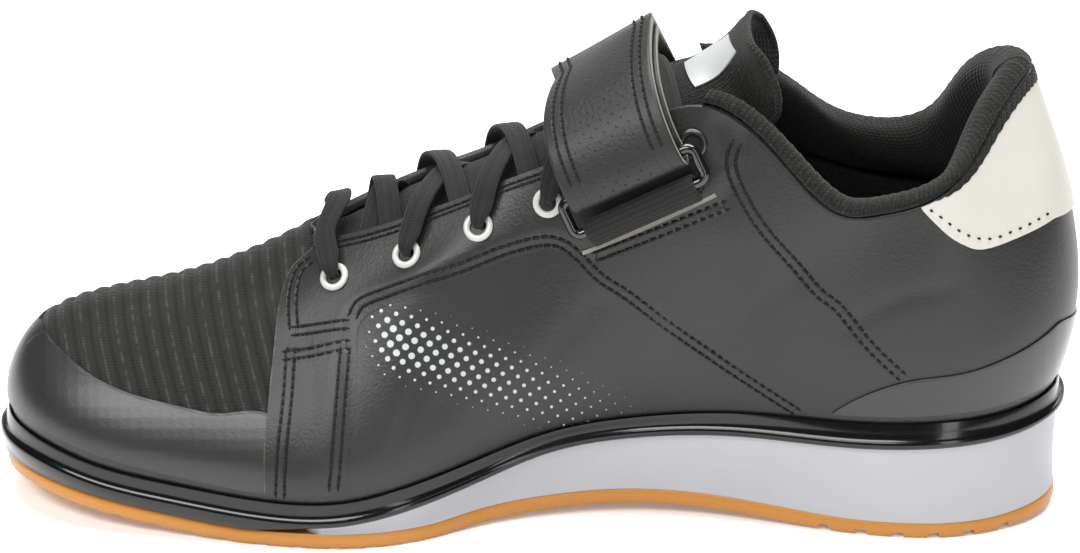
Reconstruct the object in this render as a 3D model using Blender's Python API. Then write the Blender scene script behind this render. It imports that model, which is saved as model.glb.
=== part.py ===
"""Weightlifting shoe, right foot, as separate closed solids in metres, +Z up, toe to -X, medial side to -Y."""

from math import atan, cos, pi, radians, sin, tan

import bmesh
import bpy
import numpy as np
from mathutils import Matrix

# Sizes in millimetres
LENGTH = 304.0
BALL_WIDTH = 107.0
TOP_HEIGHT = 127.0
LEATHER = 2.2
GAP = 0.42
RIM_REACH = 4.5
RIM_RISE = 4.2
RIM_DROP = 1.7
GUM_HEIGHT = 4.4
SOLE_INSET = 1.6
WEDGE_STARTS = 0.745
WEDGE_RUN = 16.0
MARGIN = 9.0
MARGIN_THICK = 2.0
INSOLE_THICK = 3.6
OVERLAY = 0.9
STRAP_WIDTH = 33.0
STRAP_THICK = 2.0
STRAP_SLOPE = 27.0
LACE_WIDTH = 6.4
LACE_THICK = 1.5
BAR_LIFT = 6.5
EYELET_OUTER = 4.2
EYELET_INNER = 2.3
WIRE = 3.0
RING_LONG = 42.0
COLUMNS = 66
ROWS_UP = 10
INNER_ROWS = (9, 8, 7, 6, 4, 2)

# One row for each section round the shoe, from the back of the heel by the medial side to the toe and back.
# along, top_along: share of LENGTH from the heel. side, outs: share of BALL_WIDTH, medial negative.
# lip, ground, ups: share of TOP_HEIGHT above the floor. Outs are measured outwards from the foot line.
COLUMN_NAMES = (
    "along", "side", "lip", "ground", "wall_out", "wall_up", "shoulder_out", "shoulder_up", "lift",
    "top_along", "top_side", "top_up",
)
SECTIONS = {
    "heel_back": (0.000, -0.010, 0.262, 0.014, 0.060, 0.500, 0.003, 0.780, 0.000, 0.048, -0.010, 1.000),
    "tab_medial": (0.013, -0.170, 0.256, 0.016, 0.050, 0.490, 0.003, 0.760, 0.000, 0.056, -0.100, 0.990),
    "heel_corner_medial": (0.052, -0.275, 0.240, 0.006, 0.040, 0.470, -0.003, 0.710, 0.000, 0.080, -0.190, 0.930),
    "heel_medial": (0.118, -0.345, 0.230, 0.000, 0.025, 0.410, 0.005, 0.640, 0.000, 0.118, -0.280, 0.800),
    "quarter_medial": (0.200, -0.330, 0.220, 0.002, 0.028, 0.400, 0.020, 0.610, 0.000, 0.182, -0.300, 0.735),
    "waist_rear_medial": (0.310, -0.262, 0.218, 0.022, 0.055, 0.385, 0.078, 0.640, 0.000, 0.250, -0.300, 0.790),
    "waist_medial": (0.405, -0.235, 0.198, 0.028, 0.080, 0.370, 0.085, 0.680, 0.000, 0.340, -0.235, 0.955),
    "waist_front_medial": (0.482, -0.272, 0.168, 0.020, 0.070, 0.340, 0.020, 0.620, 0.000, 0.428, -0.200, 0.865),
    "arch_medial": (0.535, -0.335, 0.128, 0.012, 0.045, 0.290, -0.030, 0.555, 0.000, 0.488, -0.180, 0.795),
    "ball_rear_medial": (0.593, -0.440, 0.098, 0.000, 0.022, 0.240, -0.110, 0.490, 0.000, 0.540, -0.160, 0.735),
    "ball_medial": (0.660, -0.495, 0.070, 0.000, 0.018, 0.205, -0.155, 0.440, 0.000, 0.604, -0.140, 0.668),
    "ball_front_medial": (0.735, -0.482, 0.066, 0.000, 0.018, 0.196, -0.160, 0.410, 0.000, 0.662, -0.115, 0.615),
    "toe_rear_medial": (0.820, -0.440, 0.085, 0.019, 0.014, 0.206, -0.160, 0.397, -0.018, 0.688, -0.075, 0.600),
    "toe_medial": (0.892, -0.398, 0.110, 0.044, 0.012, 0.222, -0.155, 0.394, -0.018, 0.696, -0.048, 0.604),
    "toe_corner_medial": (0.952, -0.310, 0.138, 0.064, 0.010, 0.244, -0.140, 0.394, -0.018, 0.700, -0.028, 0.610),
    "toe_front_medial": (0.988, -0.190, 0.148, 0.071, 0.008, 0.250, -0.110, 0.400, -0.018, 0.703, -0.012, 0.608),
    "toe_tip": (1.000, -0.060, 0.152, 0.074, 0.008, 0.252, -0.105, 0.402, -0.018, 0.704, 0.000, 0.608),
    "toe_front_lateral": (0.990, 0.068, 0.150, 0.072, 0.008, 0.250, -0.105, 0.400, -0.018, 0.703, 0.012, 0.608),
    "toe_corner_lateral": (0.958, 0.180, 0.142, 0.066, 0.010, 0.240, -0.122, 0.393, -0.018, 0.700, 0.028, 0.610),
    "toe_lateral": (0.900, 0.290, 0.118, 0.048, 0.014, 0.222, -0.132, 0.392, -0.018, 0.696, 0.050, 0.614),
    "toe_rear_lateral": (0.826, 0.378, 0.088, 0.020, 0.016, 0.200, -0.132, 0.395, -0.018, 0.688, 0.080, 0.608),
    "ball_front_lateral": (0.738, 0.445, 0.066, 0.002, 0.018, 0.190, -0.140, 0.395, 0.000, 0.662, 0.120, 0.630),
    "ball_lateral": (0.645, 0.498, 0.074, 0.000, 0.018, 0.200, -0.145, 0.420, 0.000, 0.604, 0.145, 0.690),
    "ball_rear_lateral": (0.550, 0.495, 0.108, 0.000, 0.018, 0.240, -0.125, 0.460, 0.000, 0.540, 0.165, 0.745),
    "waist_front_lateral": (0.465, 0.455, 0.146, 0.006, 0.018, 0.290, -0.090, 0.510, 0.000, 0.488, 0.185, 0.800),
    "waist_lateral": (0.380, 0.410, 0.180, 0.012, 0.020, 0.330, -0.060, 0.570, 0.000, 0.428, 0.205, 0.868),
    "waist_rear_lateral": (0.290, 0.378, 0.208, 0.012, 0.022, 0.360, -0.030, 0.620, 0.000, 0.340, 0.235, 0.950),
    "quarter_lateral": (0.200, 0.356, 0.222, 0.002, 0.024, 0.390, 0.000, 0.610, 0.000, 0.250, 0.295, 0.850),
    "heel_lateral": (0.122, 0.335, 0.230, 0.000, 0.025, 0.410, 0.005, 0.640, 0.000, 0.182, 0.305, 0.775),
    "heel_side_lateral": (0.070, 0.278, 0.238, 0.004, 0.036, 0.425, 0.000, 0.690, 0.000, 0.118, 0.280, 0.800),
    "heel_corner_lateral": (0.028, 0.185, 0.248, 0.012, 0.048, 0.440, 0.000, 0.730, 0.000, 0.084, 0.190, 0.935),
    "tab_lateral": (0.006, 0.085, 0.259, 0.017, 0.055, 0.455, 0.003, 0.770, 0.000, 0.056, 0.085, 0.990),
}

# Sections of the tongue above the throat: x and edge_x from the shoe's middle, as shares of LENGTH,
# edge_y as a share of BALL_WIDTH, z and edge_z as shares of TOP_HEIGHT.
TONGUE_TOP = {
    "mouth": dict(x=0.155, z=0.975, edge_x=0.217, edge_y=0.176, edge_z=0.905),
    "neck": dict(x=0.170, z=1.020, edge_x=0.225, edge_y=0.190, edge_z=0.945),
    "crown": dict(x=0.184, z=1.064, edge_x=0.222, edge_y=0.212, edge_z=0.998),
    "brim": dict(x=0.193, z=1.096, edge_x=0.210, edge_y=0.195, edge_z=1.055),
}

# Side view outlines of the overlays: share of LENGTH from the heel, share of TOP_HEIGHT.
GUARD = ((1.10, -0.2), (0.737, -0.2), (0.737, 0.273), (0.773, 0.273), (0.806, 0.280), (0.832, 0.284), (0.862, 0.291),
         (0.878, 0.307), (0.895, 0.315), (0.914, 0.339), (0.931, 0.362), (0.957, 0.374), (1.10, 0.390))
EYESTAY = ((0.700, 0.02), (0.735, 0.02), (0.735, 0.265), (0.728, 0.400), (0.719, 0.480), (0.709, 0.535),
           (0.695, 0.570), (0.672, 0.615), (0.620, 0.80), (0.300, 1.40), (0.290, 0.93), (0.352, 0.760), (0.440, 0.700),
           (0.500, 0.660), (0.560, 0.605), (0.620, 0.545), (0.658, 0.500), (0.670, 0.470), (0.673, 0.260), (0.674, 0.02))
COUNTER = ((-0.1, 0.10), (0.218, 0.10), (0.218, 0.285), (0.165, 0.360), (0.135, 0.385), (0.095, 0.405),
           (0.040, 0.455), (0.008, 0.535), (-0.1, 0.590))
PATCH = ((-0.1, 1.30), (-0.1, 0.725), (0.012, 0.725), (0.050, 0.690), (0.075, 0.672), (0.092, 0.668), (0.106, 0.682),
         (0.128, 0.722), (0.148, 0.755), (0.150, 1.30))
SLIT = ((0.446, 0.645), (0.330, 0.786), (0.325, 0.768), (0.442, 0.625))

# Band round the instep in the plane square to its slope: side and height from the top's middle, in millimetres,
# drawn for a shoe of this width and height. The middle is a share of LENGTH and of TOP_HEIGHT.
STRAP_DRAWN_FOR = (107.0, 127.0)
STRAP_MIDDLE = (0.431, 0.992)
STRAP_LEAN = (36.0, 26.0, 34.0)
STRAP_PATH = (
    (32.6, -44.0), (33.0, -34.0), (32.6, -24.0), (29.8, -13.2), (22.0, -5.8), (11.5, -1.6), (0.0, -0.2),
    (-11.5, -1.6), (-22.0, -5.8), (-28.6, -12.8), (-30.6, -18.0), (-30.9, -22.3), (-31.4, -24.7), (-33.6, -25.9),
    (-36.1, -24.8), (-37.0, -22.0), (-36.4, -17.0), (-32.8, -9.0), (-24.2, -1.9), (-12.6, 1.8), (0.0, 3.0),
    (12.6, 1.8), (24.2, -1.9), (32.4, -10.6), (35.8, -21.0), (36.6, -31.0), (36.4, -39.0),
)
RING_TOP = (-33.8, -22.3)
RING_LOW = (-35.2, -32.0)
LOOP_PATH = (
    (-32.1, -36.2), (-32.4, -34.6), (-32.7, -32.9), (-33.1, -31.2), (-34.6, -29.7), (-36.3, -29.9),
    (-37.5, -31.6), (-37.2, -33.6), (-36.1, -35.3), (-35.2, -36.5),
)
LOOP_THICK = 1.2


# Eyelets from the toe up: share of LENGTH from the heel, and millimetres below the throat's edge
EYELETS = ((0.672, 15.4), (0.605, 16.0), (0.541, 15.4), (0.478, 14.6), (0.412, 12.0), (0.350, 9.5))


def x_at(along):
    """Heel is at +X, toe at -X."""
    return LENGTH / 2 - np.asarray(along, float) * LENGTH


def closed_spline(knots, rows):
    """A smooth closed curve through the rows: returns a function of knots 0 to 1."""
    count = len(rows)
    step = np.diff(knots)
    left = np.zeros((count, count))
    right = np.zeros_like(rows)
    for i in range(count):
        before, after = step[i - 1], step[i]
        left[i, i - 1] += after
        left[i, i] += 2 * (before + after)
        left[i, (i + 1) % count] += before
        right[i] = 3 * (after * (rows[i] - rows[i - 1]) / before + before * (rows[(i + 1) % count] - rows[i]) / after)
    slope = np.linalg.solve(left, right)

    def curve(at):
        at = np.asarray(at, float) % 1.0
        i = np.clip(np.searchsorted(knots, at, side="right") - 1, 0, count - 1)
        h = step[i][:, None]
        s = ((at - knots[i]) / step[i])[:, None]
        j = (i + 1) % count
        return (
            (1 + 2 * s) * (1 - s) ** 2 * rows[i] + s * (1 - s) ** 2 * h * slope[i]
            + s * s * (3 - 2 * s) * rows[j] + s * s * (s - 1) * h * slope[j]
        )

    return curve


def open_spline(points, at):
    """Points at shares of a smooth open curve through the points."""
    points = np.asarray(points, float)
    last = len(points) - 1
    knots = np.concatenate([[0], np.cumsum(np.linalg.norm(np.diff(points, axis=0), axis=1) ** 0.5)])
    knots /= knots[-1]
    h = np.diff(knots)
    left = np.zeros((last + 1, last + 1))
    right = np.zeros_like(points)
    left[0, :2] = 2, 1
    left[-1, -2:] = 1, 2
    right[0] = 3 * (points[1] - points[0]) / h[0]
    right[-1] = 3 * (points[-1] - points[-2]) / h[-1]
    for i in range(1, last):
        left[i, i - 1:i + 2] = h[i], 2 * (h[i - 1] + h[i]), h[i - 1]
        right[i] = 3 * (h[i] * (points[i] - points[i - 1]) / h[i - 1] + h[i - 1] * (points[i + 1] - points[i]) / h[i])
    slope = np.linalg.solve(left, right)
    i = np.clip(np.searchsorted(knots, at, side="right") - 1, 0, last - 1)
    s = ((at - knots[i]) / h[i])[:, None]
    step = h[i][:, None]
    return (
        (1 + 2 * s) * (1 - s) ** 2 * points[i] + s * (1 - s) ** 2 * step * slope[i]
        + s * s * (3 - 2 * s) * points[i + 1] + s * s * (s - 1) * step * slope[i + 1]
    )


def unit(v):
    return v / np.maximum(np.linalg.norm(v, axis=-1, keepdims=True), 1e-9)


def outline():
    """The lip's plan, its heights and the upper's columns, in millimetres, for each column."""
    table = np.array(list(SECTIONS.values()), float)
    get = dict(zip(COLUMN_NAMES, table.T))
    rows = np.column_stack([
        x_at(get["along"]), get["side"] * BALL_WIDTH, get["lip"] * TOP_HEIGHT, get["ground"] * TOP_HEIGHT,
        get["wall_out"] * BALL_WIDTH, get["wall_up"] * TOP_HEIGHT,
        get["shoulder_out"] * BALL_WIDTH, get["shoulder_up"] * TOP_HEIGHT, get["lift"] * TOP_HEIGHT,
        x_at(get["top_along"]), get["top_side"] * BALL_WIDTH, get["top_up"] * TOP_HEIGHT,
    ])
    names = list(SECTIONS)
    tip = names.index("toe_tip")
    loop = np.vstack([rows, rows[:1]])
    run = np.concatenate([[0], np.cumsum(np.linalg.norm(np.diff(loop[:, :2], axis=0), axis=1))])
    knots = np.where(
        np.arange(len(run)) <= tip, 0.5 * run / run[tip], 0.5 + 0.5 * (run - run[tip]) / (run[-1] - run[tip])
    )
    curve = closed_spline(knots, rows)
    at = np.arange(COLUMNS) / COLUMNS
    values = curve(at)
    ahead = curve(at + 1e-4)[:, :2] - curve(at - 1e-4)[:, :2]
    out = unit(np.column_stack([ahead[:, 1], -ahead[:, 0]]))
    if np.mean(np.sum(out * (values[:, :2] - values[:, :2].mean(axis=0)), axis=1)) < 0:
        out = -out
    return values, out


VALUES, OUT = outline()
LIP_XY = VALUES[:, :2]
LIP_Z = VALUES[:, 2]
GROUND = np.maximum(VALUES[:, 3] - 0.25, 0.0)


def plan(inset):
    """The lip's outline moved inwards, one point for each column."""
    return LIP_XY - OUT * np.asarray(inset, float).reshape(-1, 1)


def field(values):
    """A height at any plan point, from the values along the medial and the lateral outline."""
    half = COLUMNS // 2
    medial = slice(0, half + 1)
    lateral = np.r_[half:COLUMNS, 0]

    def at(xy):
        x, y = np.asarray(xy, float).T
        found = []
        for side in (np.arange(COLUMNS)[medial], lateral):
            order = np.argsort(LIP_XY[side, 0])
            found.append((
                np.interp(x, LIP_XY[side, 0][order], LIP_XY[side, 1][order]),
                np.interp(x, LIP_XY[side, 0][order], values[side][order]),
            ))
        (y0, z0), (y1, z1) = found
        share = np.clip((y - y0) / np.maximum(y1 - y0, 1.0), 0, 1)
        return z0 + (z1 - z0) * share

    return at


BED = field(LIP_Z)
FLOOR = field(GROUND)


def under_rim(xy):
    """The rim's lower face: on the gum round the toe, above the white wedge behind the ball."""
    gum = FLOOR(xy) + GUM_HEIGHT + GAP
    wedge = np.clip((xy[:, 0] - x_at(WEDGE_STARTS)) / WEDGE_RUN, 0, 1)
    return gum + (BED(xy) - RIM_DROP - gum) * wedge


def ring(inset, up=0.0, height=None):
    """A ring inside the outline at heights, or at a height above a field."""
    xy = plan(inset)
    if height is not None:
        up = height(xy) + up
    return np.column_stack([xy, np.broadcast_to(up, len(xy))])


def last_surface():
    """The upper's outer face as a grid of COLUMNS by ROWS_UP points, with its outward normals and up directions."""
    foot = plan(RIM_REACH)
    grid = np.zeros((COLUMNS, ROWS_UP, 3))
    for c in range(COLUMNS):
        _, _, lip, _, wall_out, wall_up, shoulder_out, shoulder_up, lift, top_x, top_y, top_z = VALUES[c]
        feet = np.array([foot[c, 0], foot[c, 1], lip])
        wall = np.array([*(foot[c] + OUT[c] * wall_out), wall_up])
        shoulder = np.array([*(foot[c] + OUT[c] * shoulder_out), shoulder_up])
        top = np.array([top_x, top_y, top_z])
        middle = (shoulder + top) / 2 + np.array([0, 0, lift])
        points = np.array([feet, wall, shoulder, middle, top])
        fine = open_spline(points, np.linspace(0, 1, 61))
        run = np.concatenate([[0], np.cumsum(np.linalg.norm(np.diff(fine, axis=0), axis=1))])
        first = RIM_RISE + 1.2
        wanted = np.concatenate([[0], first + (run[-1] - first) * np.linspace(0, 1, ROWS_UP - 1) ** 0.92])
        for k in range(3):
            grid[c, :, k] = np.interp(wanted, run, fine[:, k])
    around = np.roll(grid, -1, axis=0) - np.roll(grid, 1, axis=0)
    up = np.gradient(grid, axis=1)
    normal = unit(np.cross(up, around))
    out = np.repeat(OUT[:, None, :], ROWS_UP, axis=1)
    turned = np.sum(normal[:, :4, :2] * out[:, :4], axis=(1, 2)) < 0
    normal[turned] *= -1
    return grid, normal, unit(up)


SKIN, NORMAL, RISE = last_surface()


def skin(row, off, up=0.0):
    """A ring of points on the upper's face at a share of its rows, moved out and up."""
    low = int(min(np.floor(row), ROWS_UP - 2))
    s = row - low
    point = SKIN[:, low] * (1 - s) + SKIN[:, low + 1] * s
    normal = unit(NORMAL[:, low] * (1 - s) + NORMAL[:, low + 1] * s)
    rise = unit(RISE[:, low] * (1 - s) + RISE[:, low + 1] * s)
    return point + normal * np.asarray(off, float).reshape(-1, 1) + rise * np.asarray(up, float).reshape(-1, 1)


def face(column, row, off=0.0):
    """A point on the upper's face between its columns and rows, with its outward normal and up direction."""
    c, r = int(np.floor(column)) % COLUMNS, int(min(np.floor(row), ROWS_UP - 2))
    s, t = column - np.floor(column), row - r
    d = (c + 1) % COLUMNS
    found = []
    for grid in (SKIN, NORMAL, RISE):
        low = grid[c, r] * (1 - s) + grid[d, r] * s
        high = grid[c, r + 1] * (1 - s) + grid[d, r + 1] * s
        found.append(low * (1 - t) + high * t)
    normal = unit(found[1])
    return found[0] + normal * off, normal, unit(found[2])


def material(name, colour, rough):
    made = bpy.data.materials.new(name)
    made.use_nodes = True
    shader = made.node_tree.nodes["Principled BSDF"]
    shader.inputs["Base Color"].default_value = (*colour, 1)
    shader.inputs["Roughness"].default_value = rough
    return made


def solid(name, points, faces, paint=None, collection=None):
    """A mesh object from points in millimetres."""
    mesh = bpy.data.meshes.new(name)
    mesh.from_pydata([tuple(p / 1000) for p in np.asarray(points, float)], [], [tuple(map(int, f)) for f in faces])
    mesh.validate()
    made = bpy.data.objects.new(name, mesh)
    (collection or PARTS).objects.link(made)
    if paint:
        mesh.materials.append(paint)
    turn_out(made)
    return made


def turn_out(made):
    """Turns the faces outwards by the sign of the volume."""
    mesh = made.data
    mesh.calc_loop_triangles()
    at = np.array([v.co for v in mesh.vertices])
    tri = np.array([t.vertices for t in mesh.loop_triangles])
    if len(tri) and np.linalg.det(at[tri]).sum() < 0:
        mesh.flip_normals()


def loop_faces(count, rings, closed):
    """Quads between rings of points, each ring closed on itself."""
    faces = []
    for r in range(rings if closed else rings - 1):
        s = (r + 1) % rings
        for i in range(count):
            j = (i + 1) % count
            faces.append((r * count + i, r * count + j, s * count + j, s * count + i))
    return faces


def ladder(count, first):
    """A flat cap across a closed ring, from side to side."""
    faces = []
    half = count // 2
    for i in range(half):
        a, b = i, i + 1
        c, d = (count - b) % count, (count - a) % count
        face = [first + a, first + b, first + c, first + d]
        faces.append(tuple(dict.fromkeys(face)))
    return faces


def stack(name, rings, paint):
    """A solid from rings with a ladder cap at both ends."""
    count = len(rings[0])
    faces = loop_faces(count, len(rings), False)
    faces += [tuple(reversed(f)) for f in ladder(count, 0)]
    faces += ladder(count, (len(rings) - 1) * count)
    return solid(name, np.vstack(rings), faces, paint)


def hoop(name, rings, paint, collection=None):
    """A solid from rings where the last ring joins the first."""
    return solid(name, np.vstack(rings), loop_faces(len(rings[0]), len(rings), True), paint, collection)


def strip(name, sections, paint, collection=None):
    """A solid from closed sections in a row, with flat fan caps on both ends."""
    sections = [np.asarray(s, float) for s in sections]
    count = len(sections[0])
    faces = loop_faces(count, len(sections), False)
    faces.append(tuple(reversed(range(count))))
    faces.append(tuple(range((len(sections) - 1) * count, len(sections) * count)))
    return solid(name, np.vstack(sections), faces, paint, collection)


def triangulate(made):
    work = bmesh.new()
    work.from_mesh(made.data)
    bmesh.ops.triangulate(work, faces=work.faces)
    work.to_mesh(made.data)
    work.free()


def boolean(made, other, kind):
    triangulate(made)
    triangulate(other)
    change = made.modifiers.new(kind.lower(), "BOOLEAN")
    change.operation = kind
    change.solver = "EXACT"
    change.object = other
    bpy.context.view_layer.update()
    graph = bpy.context.evaluated_depsgraph_get()
    result = bpy.data.meshes.new_from_object(made.evaluated_get(graph))
    made.modifiers.clear()
    old = made.data
    made.data = result
    bpy.data.meshes.remove(old)
    bpy.data.objects.remove(other)
    return made


def prism(outline_xz, y0, y1):
    """A cutter: a side view outline drawn out along Y."""
    xz = [(x_at(a), u * TOP_HEIGHT) for a, u in outline_xz]
    count = len(xz)
    points = [(x, y0, z) for x, z in xz] + [(x, y1, z) for x, z in xz]
    faces = [tuple(range(count)), tuple(reversed(range(count, 2 * count)))]
    faces += [(i, (i + 1) % count, count + (i + 1) % count, count + i) for i in range(count)]
    return solid("cutter", points, faces)


def clothing(name, outline_xz, y0, y1, paint, first=1.0, last=ROWS_UP - 1.0, thick=OVERLAY, base=GAP):
    """An overlay cut from a sheet that follows the upper's face."""
    rows = [first] + [r for r in range(1, ROWS_UP) if first + 0.2 < r < last - 0.2] + [last]
    rings = [skin(r, base) for r in rows] + [skin(r, base + thick) for r in reversed(rows)]
    sheet = hoop(name, rings, paint)
    return boolean(sheet, prism(outline_xz, y0, y1), "INTERSECT")


def make_outsole(paint):
    bottom = ring(SOLE_INSET + 1.1, 0.0, FLOOR)
    edge = ring(SOLE_INSET + 0.1, 0.9, FLOOR)
    top = ring(SOLE_INSET, GUM_HEIGHT, FLOOR)
    made = stack("outsole", [bottom, edge, top], paint)
    # Lugs: notches cut in the edge of the tread
    blocks = []
    for along in [0.055 + 0.034 * i for i in range(6)] + [0.60 + 0.034 * i for i in range(9)]:
        for hand in (-1, 1):
            near = LIP_XY[:, 1] * hand > 0
            order = np.argsort(LIP_XY[near, 0])
            y = np.interp(x_at(along), LIP_XY[near, 0][order], LIP_XY[near, 1][order])
            z = np.interp(x_at(along), LIP_XY[near, 0][order], GROUND[near][order])
            blocks.append(((x_at(along), y, z - 1.0), (1.3, 6.5, 2.3)))
    return boolean(made, cutters(blocks), "DIFFERENCE")


def cutters(blocks):
    """Boxes that stand apart, as one cutter. Each is a centre and half sizes."""
    points, faces = [], []
    for (x, y, z), half in blocks:
        n = len(points)
        for up in (-1, 1):
            for side, front in ((-1, -1), (-1, 1), (1, 1), (1, -1)):
                points.append((x + front * half[0], y + side * half[1], z + up * half[2]))
        for face in ((0, 3, 2, 1), (4, 5, 6, 7), (0, 1, 5, 4), (1, 2, 6, 5), (2, 3, 7, 6), (3, 0, 4, 7)):
            faces.append(tuple(n + i for i in face))
    return solid("cutter", points, faces)


def make_midsole(paint):
    outer = plan(SOLE_INSET + 0.3)
    room = np.clip((under_rim(outer) - FLOOR(outer) - GUM_HEIGHT - 2 * GAP - 0.8) / 0.6, 0, 1)
    side = (RIM_REACH + 4.0) * (1 - room) + (SOLE_INSET + 0.3) * room
    low = ring(side, GUM_HEIGHT + GAP + 0.12, FLOOR)
    high = ring(side, -GAP, under_rim)
    high[:, 2] = np.maximum(high[:, 2], low[:, 2] + 0.5)
    plug = ring(RIM_REACH + 4.4, -GAP, under_rim)
    plug[:, 2] = np.maximum(plug[:, 2], low[:, 2] + 0.52)
    return stack("midsole", [
        low, high, plug, ring(RIM_REACH + 4.6, -GAP, BED),
        ring(RIM_REACH + MARGIN + 0.6, -GAP + 0.01, BED), ring(RIM_REACH + MARGIN + 0.8, MARGIN_THICK - 0.2, BED),
    ], paint)


def make_rim(paint):
    return hoop("rim", [
        ring(RIM_REACH + 3.2, 0.0, under_rim), ring(0.7, 0.0, under_rim),
        ring(0.0, LIP_Z - 0.5), ring(0.5, LIP_Z + 0.9),
        skin(1.0, GAP + 0.5), skin(1.0, GAP), skin(0.15, GAP),
        ring(RIM_REACH + 0.5, -GAP - 0.1, BED), ring(RIM_REACH + 3.2, -GAP - 0.1, BED),
    ], paint)


def make_upper(paint):
    outer = [skin(r, 0.0) for r in range(1, ROWS_UP)]
    inner = [skin(r, -LEATHER) for r in INNER_ROWS]
    crest = skin(ROWS_UP - 1.0, -LEATHER / 2, 0.3)
    return hoop("upper", [
        ring(RIM_REACH + MARGIN, 0.0, BED), ring(RIM_REACH + 0.9, 0.0, BED), skin(0.15, 0.0),
        *outer, crest, *inner,
        ring(RIM_REACH + LEATHER + 0.6, MARGIN_THICK + 0.4, BED),
        ring(RIM_REACH + MARGIN, MARGIN_THICK, BED),
    ], paint)


def make_insole(paint):
    base = MARGIN_THICK + GAP
    return stack("insole", [
        ring(RIM_REACH + 5.0, base + 0.3, BED), ring(RIM_REACH + 4.4, base + INSOLE_THICK - 0.6, BED),
        ring(RIM_REACH + 5.4, base + INSOLE_THICK, BED),
    ], paint)


def corner(hand):
    """The column where throat and collar meet, on one side."""
    tops = SKIN[:, -1]
    half = COLUMNS // 2
    order = range(1, half) if hand < 0 else range(half + 1, COLUMNS)
    return max(order, key=lambda c: tops[c, 2] if tops[c, 0] < x_at(0.22) else -1)


def make_collar(paint):
    first, last = corner(-1), corner(1)
    order = [c % COLUMNS for c in range(last, COLUMNS + first + 1)]
    sections = []
    for k, c in enumerate(order):
        share = max(sin(pi * k / (len(order) - 1)), 0.0) ** 0.5
        pad = 2.6 + 5.4 * share
        top = ROWS_UP - 1.0
        back = -LEATHER - GAP - 0.15
        profile = [
            (top - 2.4, back, 0.0), (top - 1.6, back, 0.0), (top - 0.8, back, 0.0), (top, back, 0.0),
            (top, back, 0.75), (top, 0.0, 0.8), (top, 0.7, 2.0), (top, -0.4, 4.0), (top, -2.6, 4.9),
            (top, -2.6 - 0.6 * pad, 4.0), (top, back - pad, 1.0), (top - 0.8, back - pad - 0.4 * share, 0.0),
            (top - 1.6, back - 0.75 * pad, 0.0), (top - 2.4, back - 1.2, 0.0),
        ]
        sections.append([skin(r, off, up)[c] for r, off, up in profile])
    return strip("collar", sections, paint)


def edge_column(hand, x):
    """The column whose throat edge stands at x, on one side."""
    half = COLUMNS // 2
    columns = np.arange(half - 3, corner(-1) - 0.01, -0.1) if hand < 0 else np.arange(half + 3, corner(1) + 0.01, 0.1)
    return min(columns, key=lambda c: abs(face(c, ROWS_UP - 1.0)[0][0] - x))


def tongue_section(x, inset, lift, thick):
    """A closed section across the tongue: seven points above, seven below."""
    top = ROWS_UP - 1.0
    medial, lateral = edge_column(-1, x), edge_column(1, x)
    rows = (top - 1.3, top - 0.65, top)
    left = [face(medial, r, -inset)[0] for r in rows]
    right = [face(lateral, r, -inset)[0] for r in reversed(rows)]
    middle = (left[-1] + right[0]) / 2 + np.array([0, 0, lift])
    above = np.array([*left, middle, *right])
    return thicken(above, thick)


def thicken(above, thick):
    """A padded section from its upper line, thinner at both edges."""
    along = unit(np.gradient(above, axis=0))
    down = np.cross(along, np.array([1.0, 0, 0.5]))
    down *= np.where(down[:, 2:] > 0, -1, 1)
    down = unit(down)
    share = np.sin(np.linspace(0.25, pi - 0.25, len(above)))[:, None]
    below = above + down * thick * share
    return np.vstack([above, below[::-1]])


def make_tongue(paint):
    sections = []
    first = SKIN[COLUMNS // 2 - 3, -1, 0] + 1.0
    last = SKIN[corner(-1), -1, 0] - 6.0
    for share in np.linspace(0, 1, 8):
        inset = LEATHER + GAP + 0.6 + 3.3 * share ** 3
        sections.append(tongue_section(first + (last - first) * share, inset, 2.0 + 5.0 * share, 3.2 + 1.8 * share))
    for row in TONGUE_TOP.values():
        above = []
        for w in np.linspace(-1, 1, 7):
            bend = w * w
            above.append((
                LENGTH * (row["x"] + (row["edge_x"] - row["x"]) * bend), BALL_WIDTH * row["edge_y"] * sin(w * pi / 2),
                TOP_HEIGHT * (row["z"] + (row["edge_z"] - row["z"]) * bend),
            ))
        sections.append(thicken(np.array(above), 5.0))
    return strip("tongue", sections, paint)


def across_instep(side, height, run):
    """A point from its side, its height square to the instep's slope, and its run along the slope."""
    lean = radians(STRAP_LEAN[0] + (STRAP_LEAN[1] - STRAP_LEAN[0]) * min(1.0, abs(side) / STRAP_LEAN[2]))
    run = run + 1.5 - 0.15 * abs(side)
    wider, taller = BALL_WIDTH / STRAP_DRAWN_FOR[0], TOP_HEIGHT / STRAP_DRAWN_FOR[1]
    side = side + (wider - 1) * float(np.clip(side, -STRAP_WIDTH, STRAP_WIDTH))
    height = height + (taller - 1) * max(height, -STRAP_WIDTH)
    base, lean = atan(tan(radians(STRAP_SLOPE)) * taller), atan(tan(lean) * taller)
    above = np.array([-sin(base), 0, cos(base)])
    along = np.array([cos(lean), 0, sin(lean)])
    middle = np.array([x_at(STRAP_MIDDLE[0]), 0.0, STRAP_MIDDLE[1] * TOP_HEIGHT])
    return middle + np.array([0, side, 0]) + above * height + along * run


def ribbon(name, path, thick, width, paint):
    """A flat band along a path across the instep."""
    path = np.asarray(path, float)
    turn = unit(np.gradient(path, axis=0))
    off = np.column_stack([-turn[:, 1], turn[:, 0]]) * thick / 2
    sections = []
    for p, o in zip(path, off):
        sections.append([across_instep(*(p + sign * o), half * width / 2) for sign, half in ((1, -1), (1, 1), (-1, 1), (-1, -1))])
    return strip(name, sections, paint)


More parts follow.
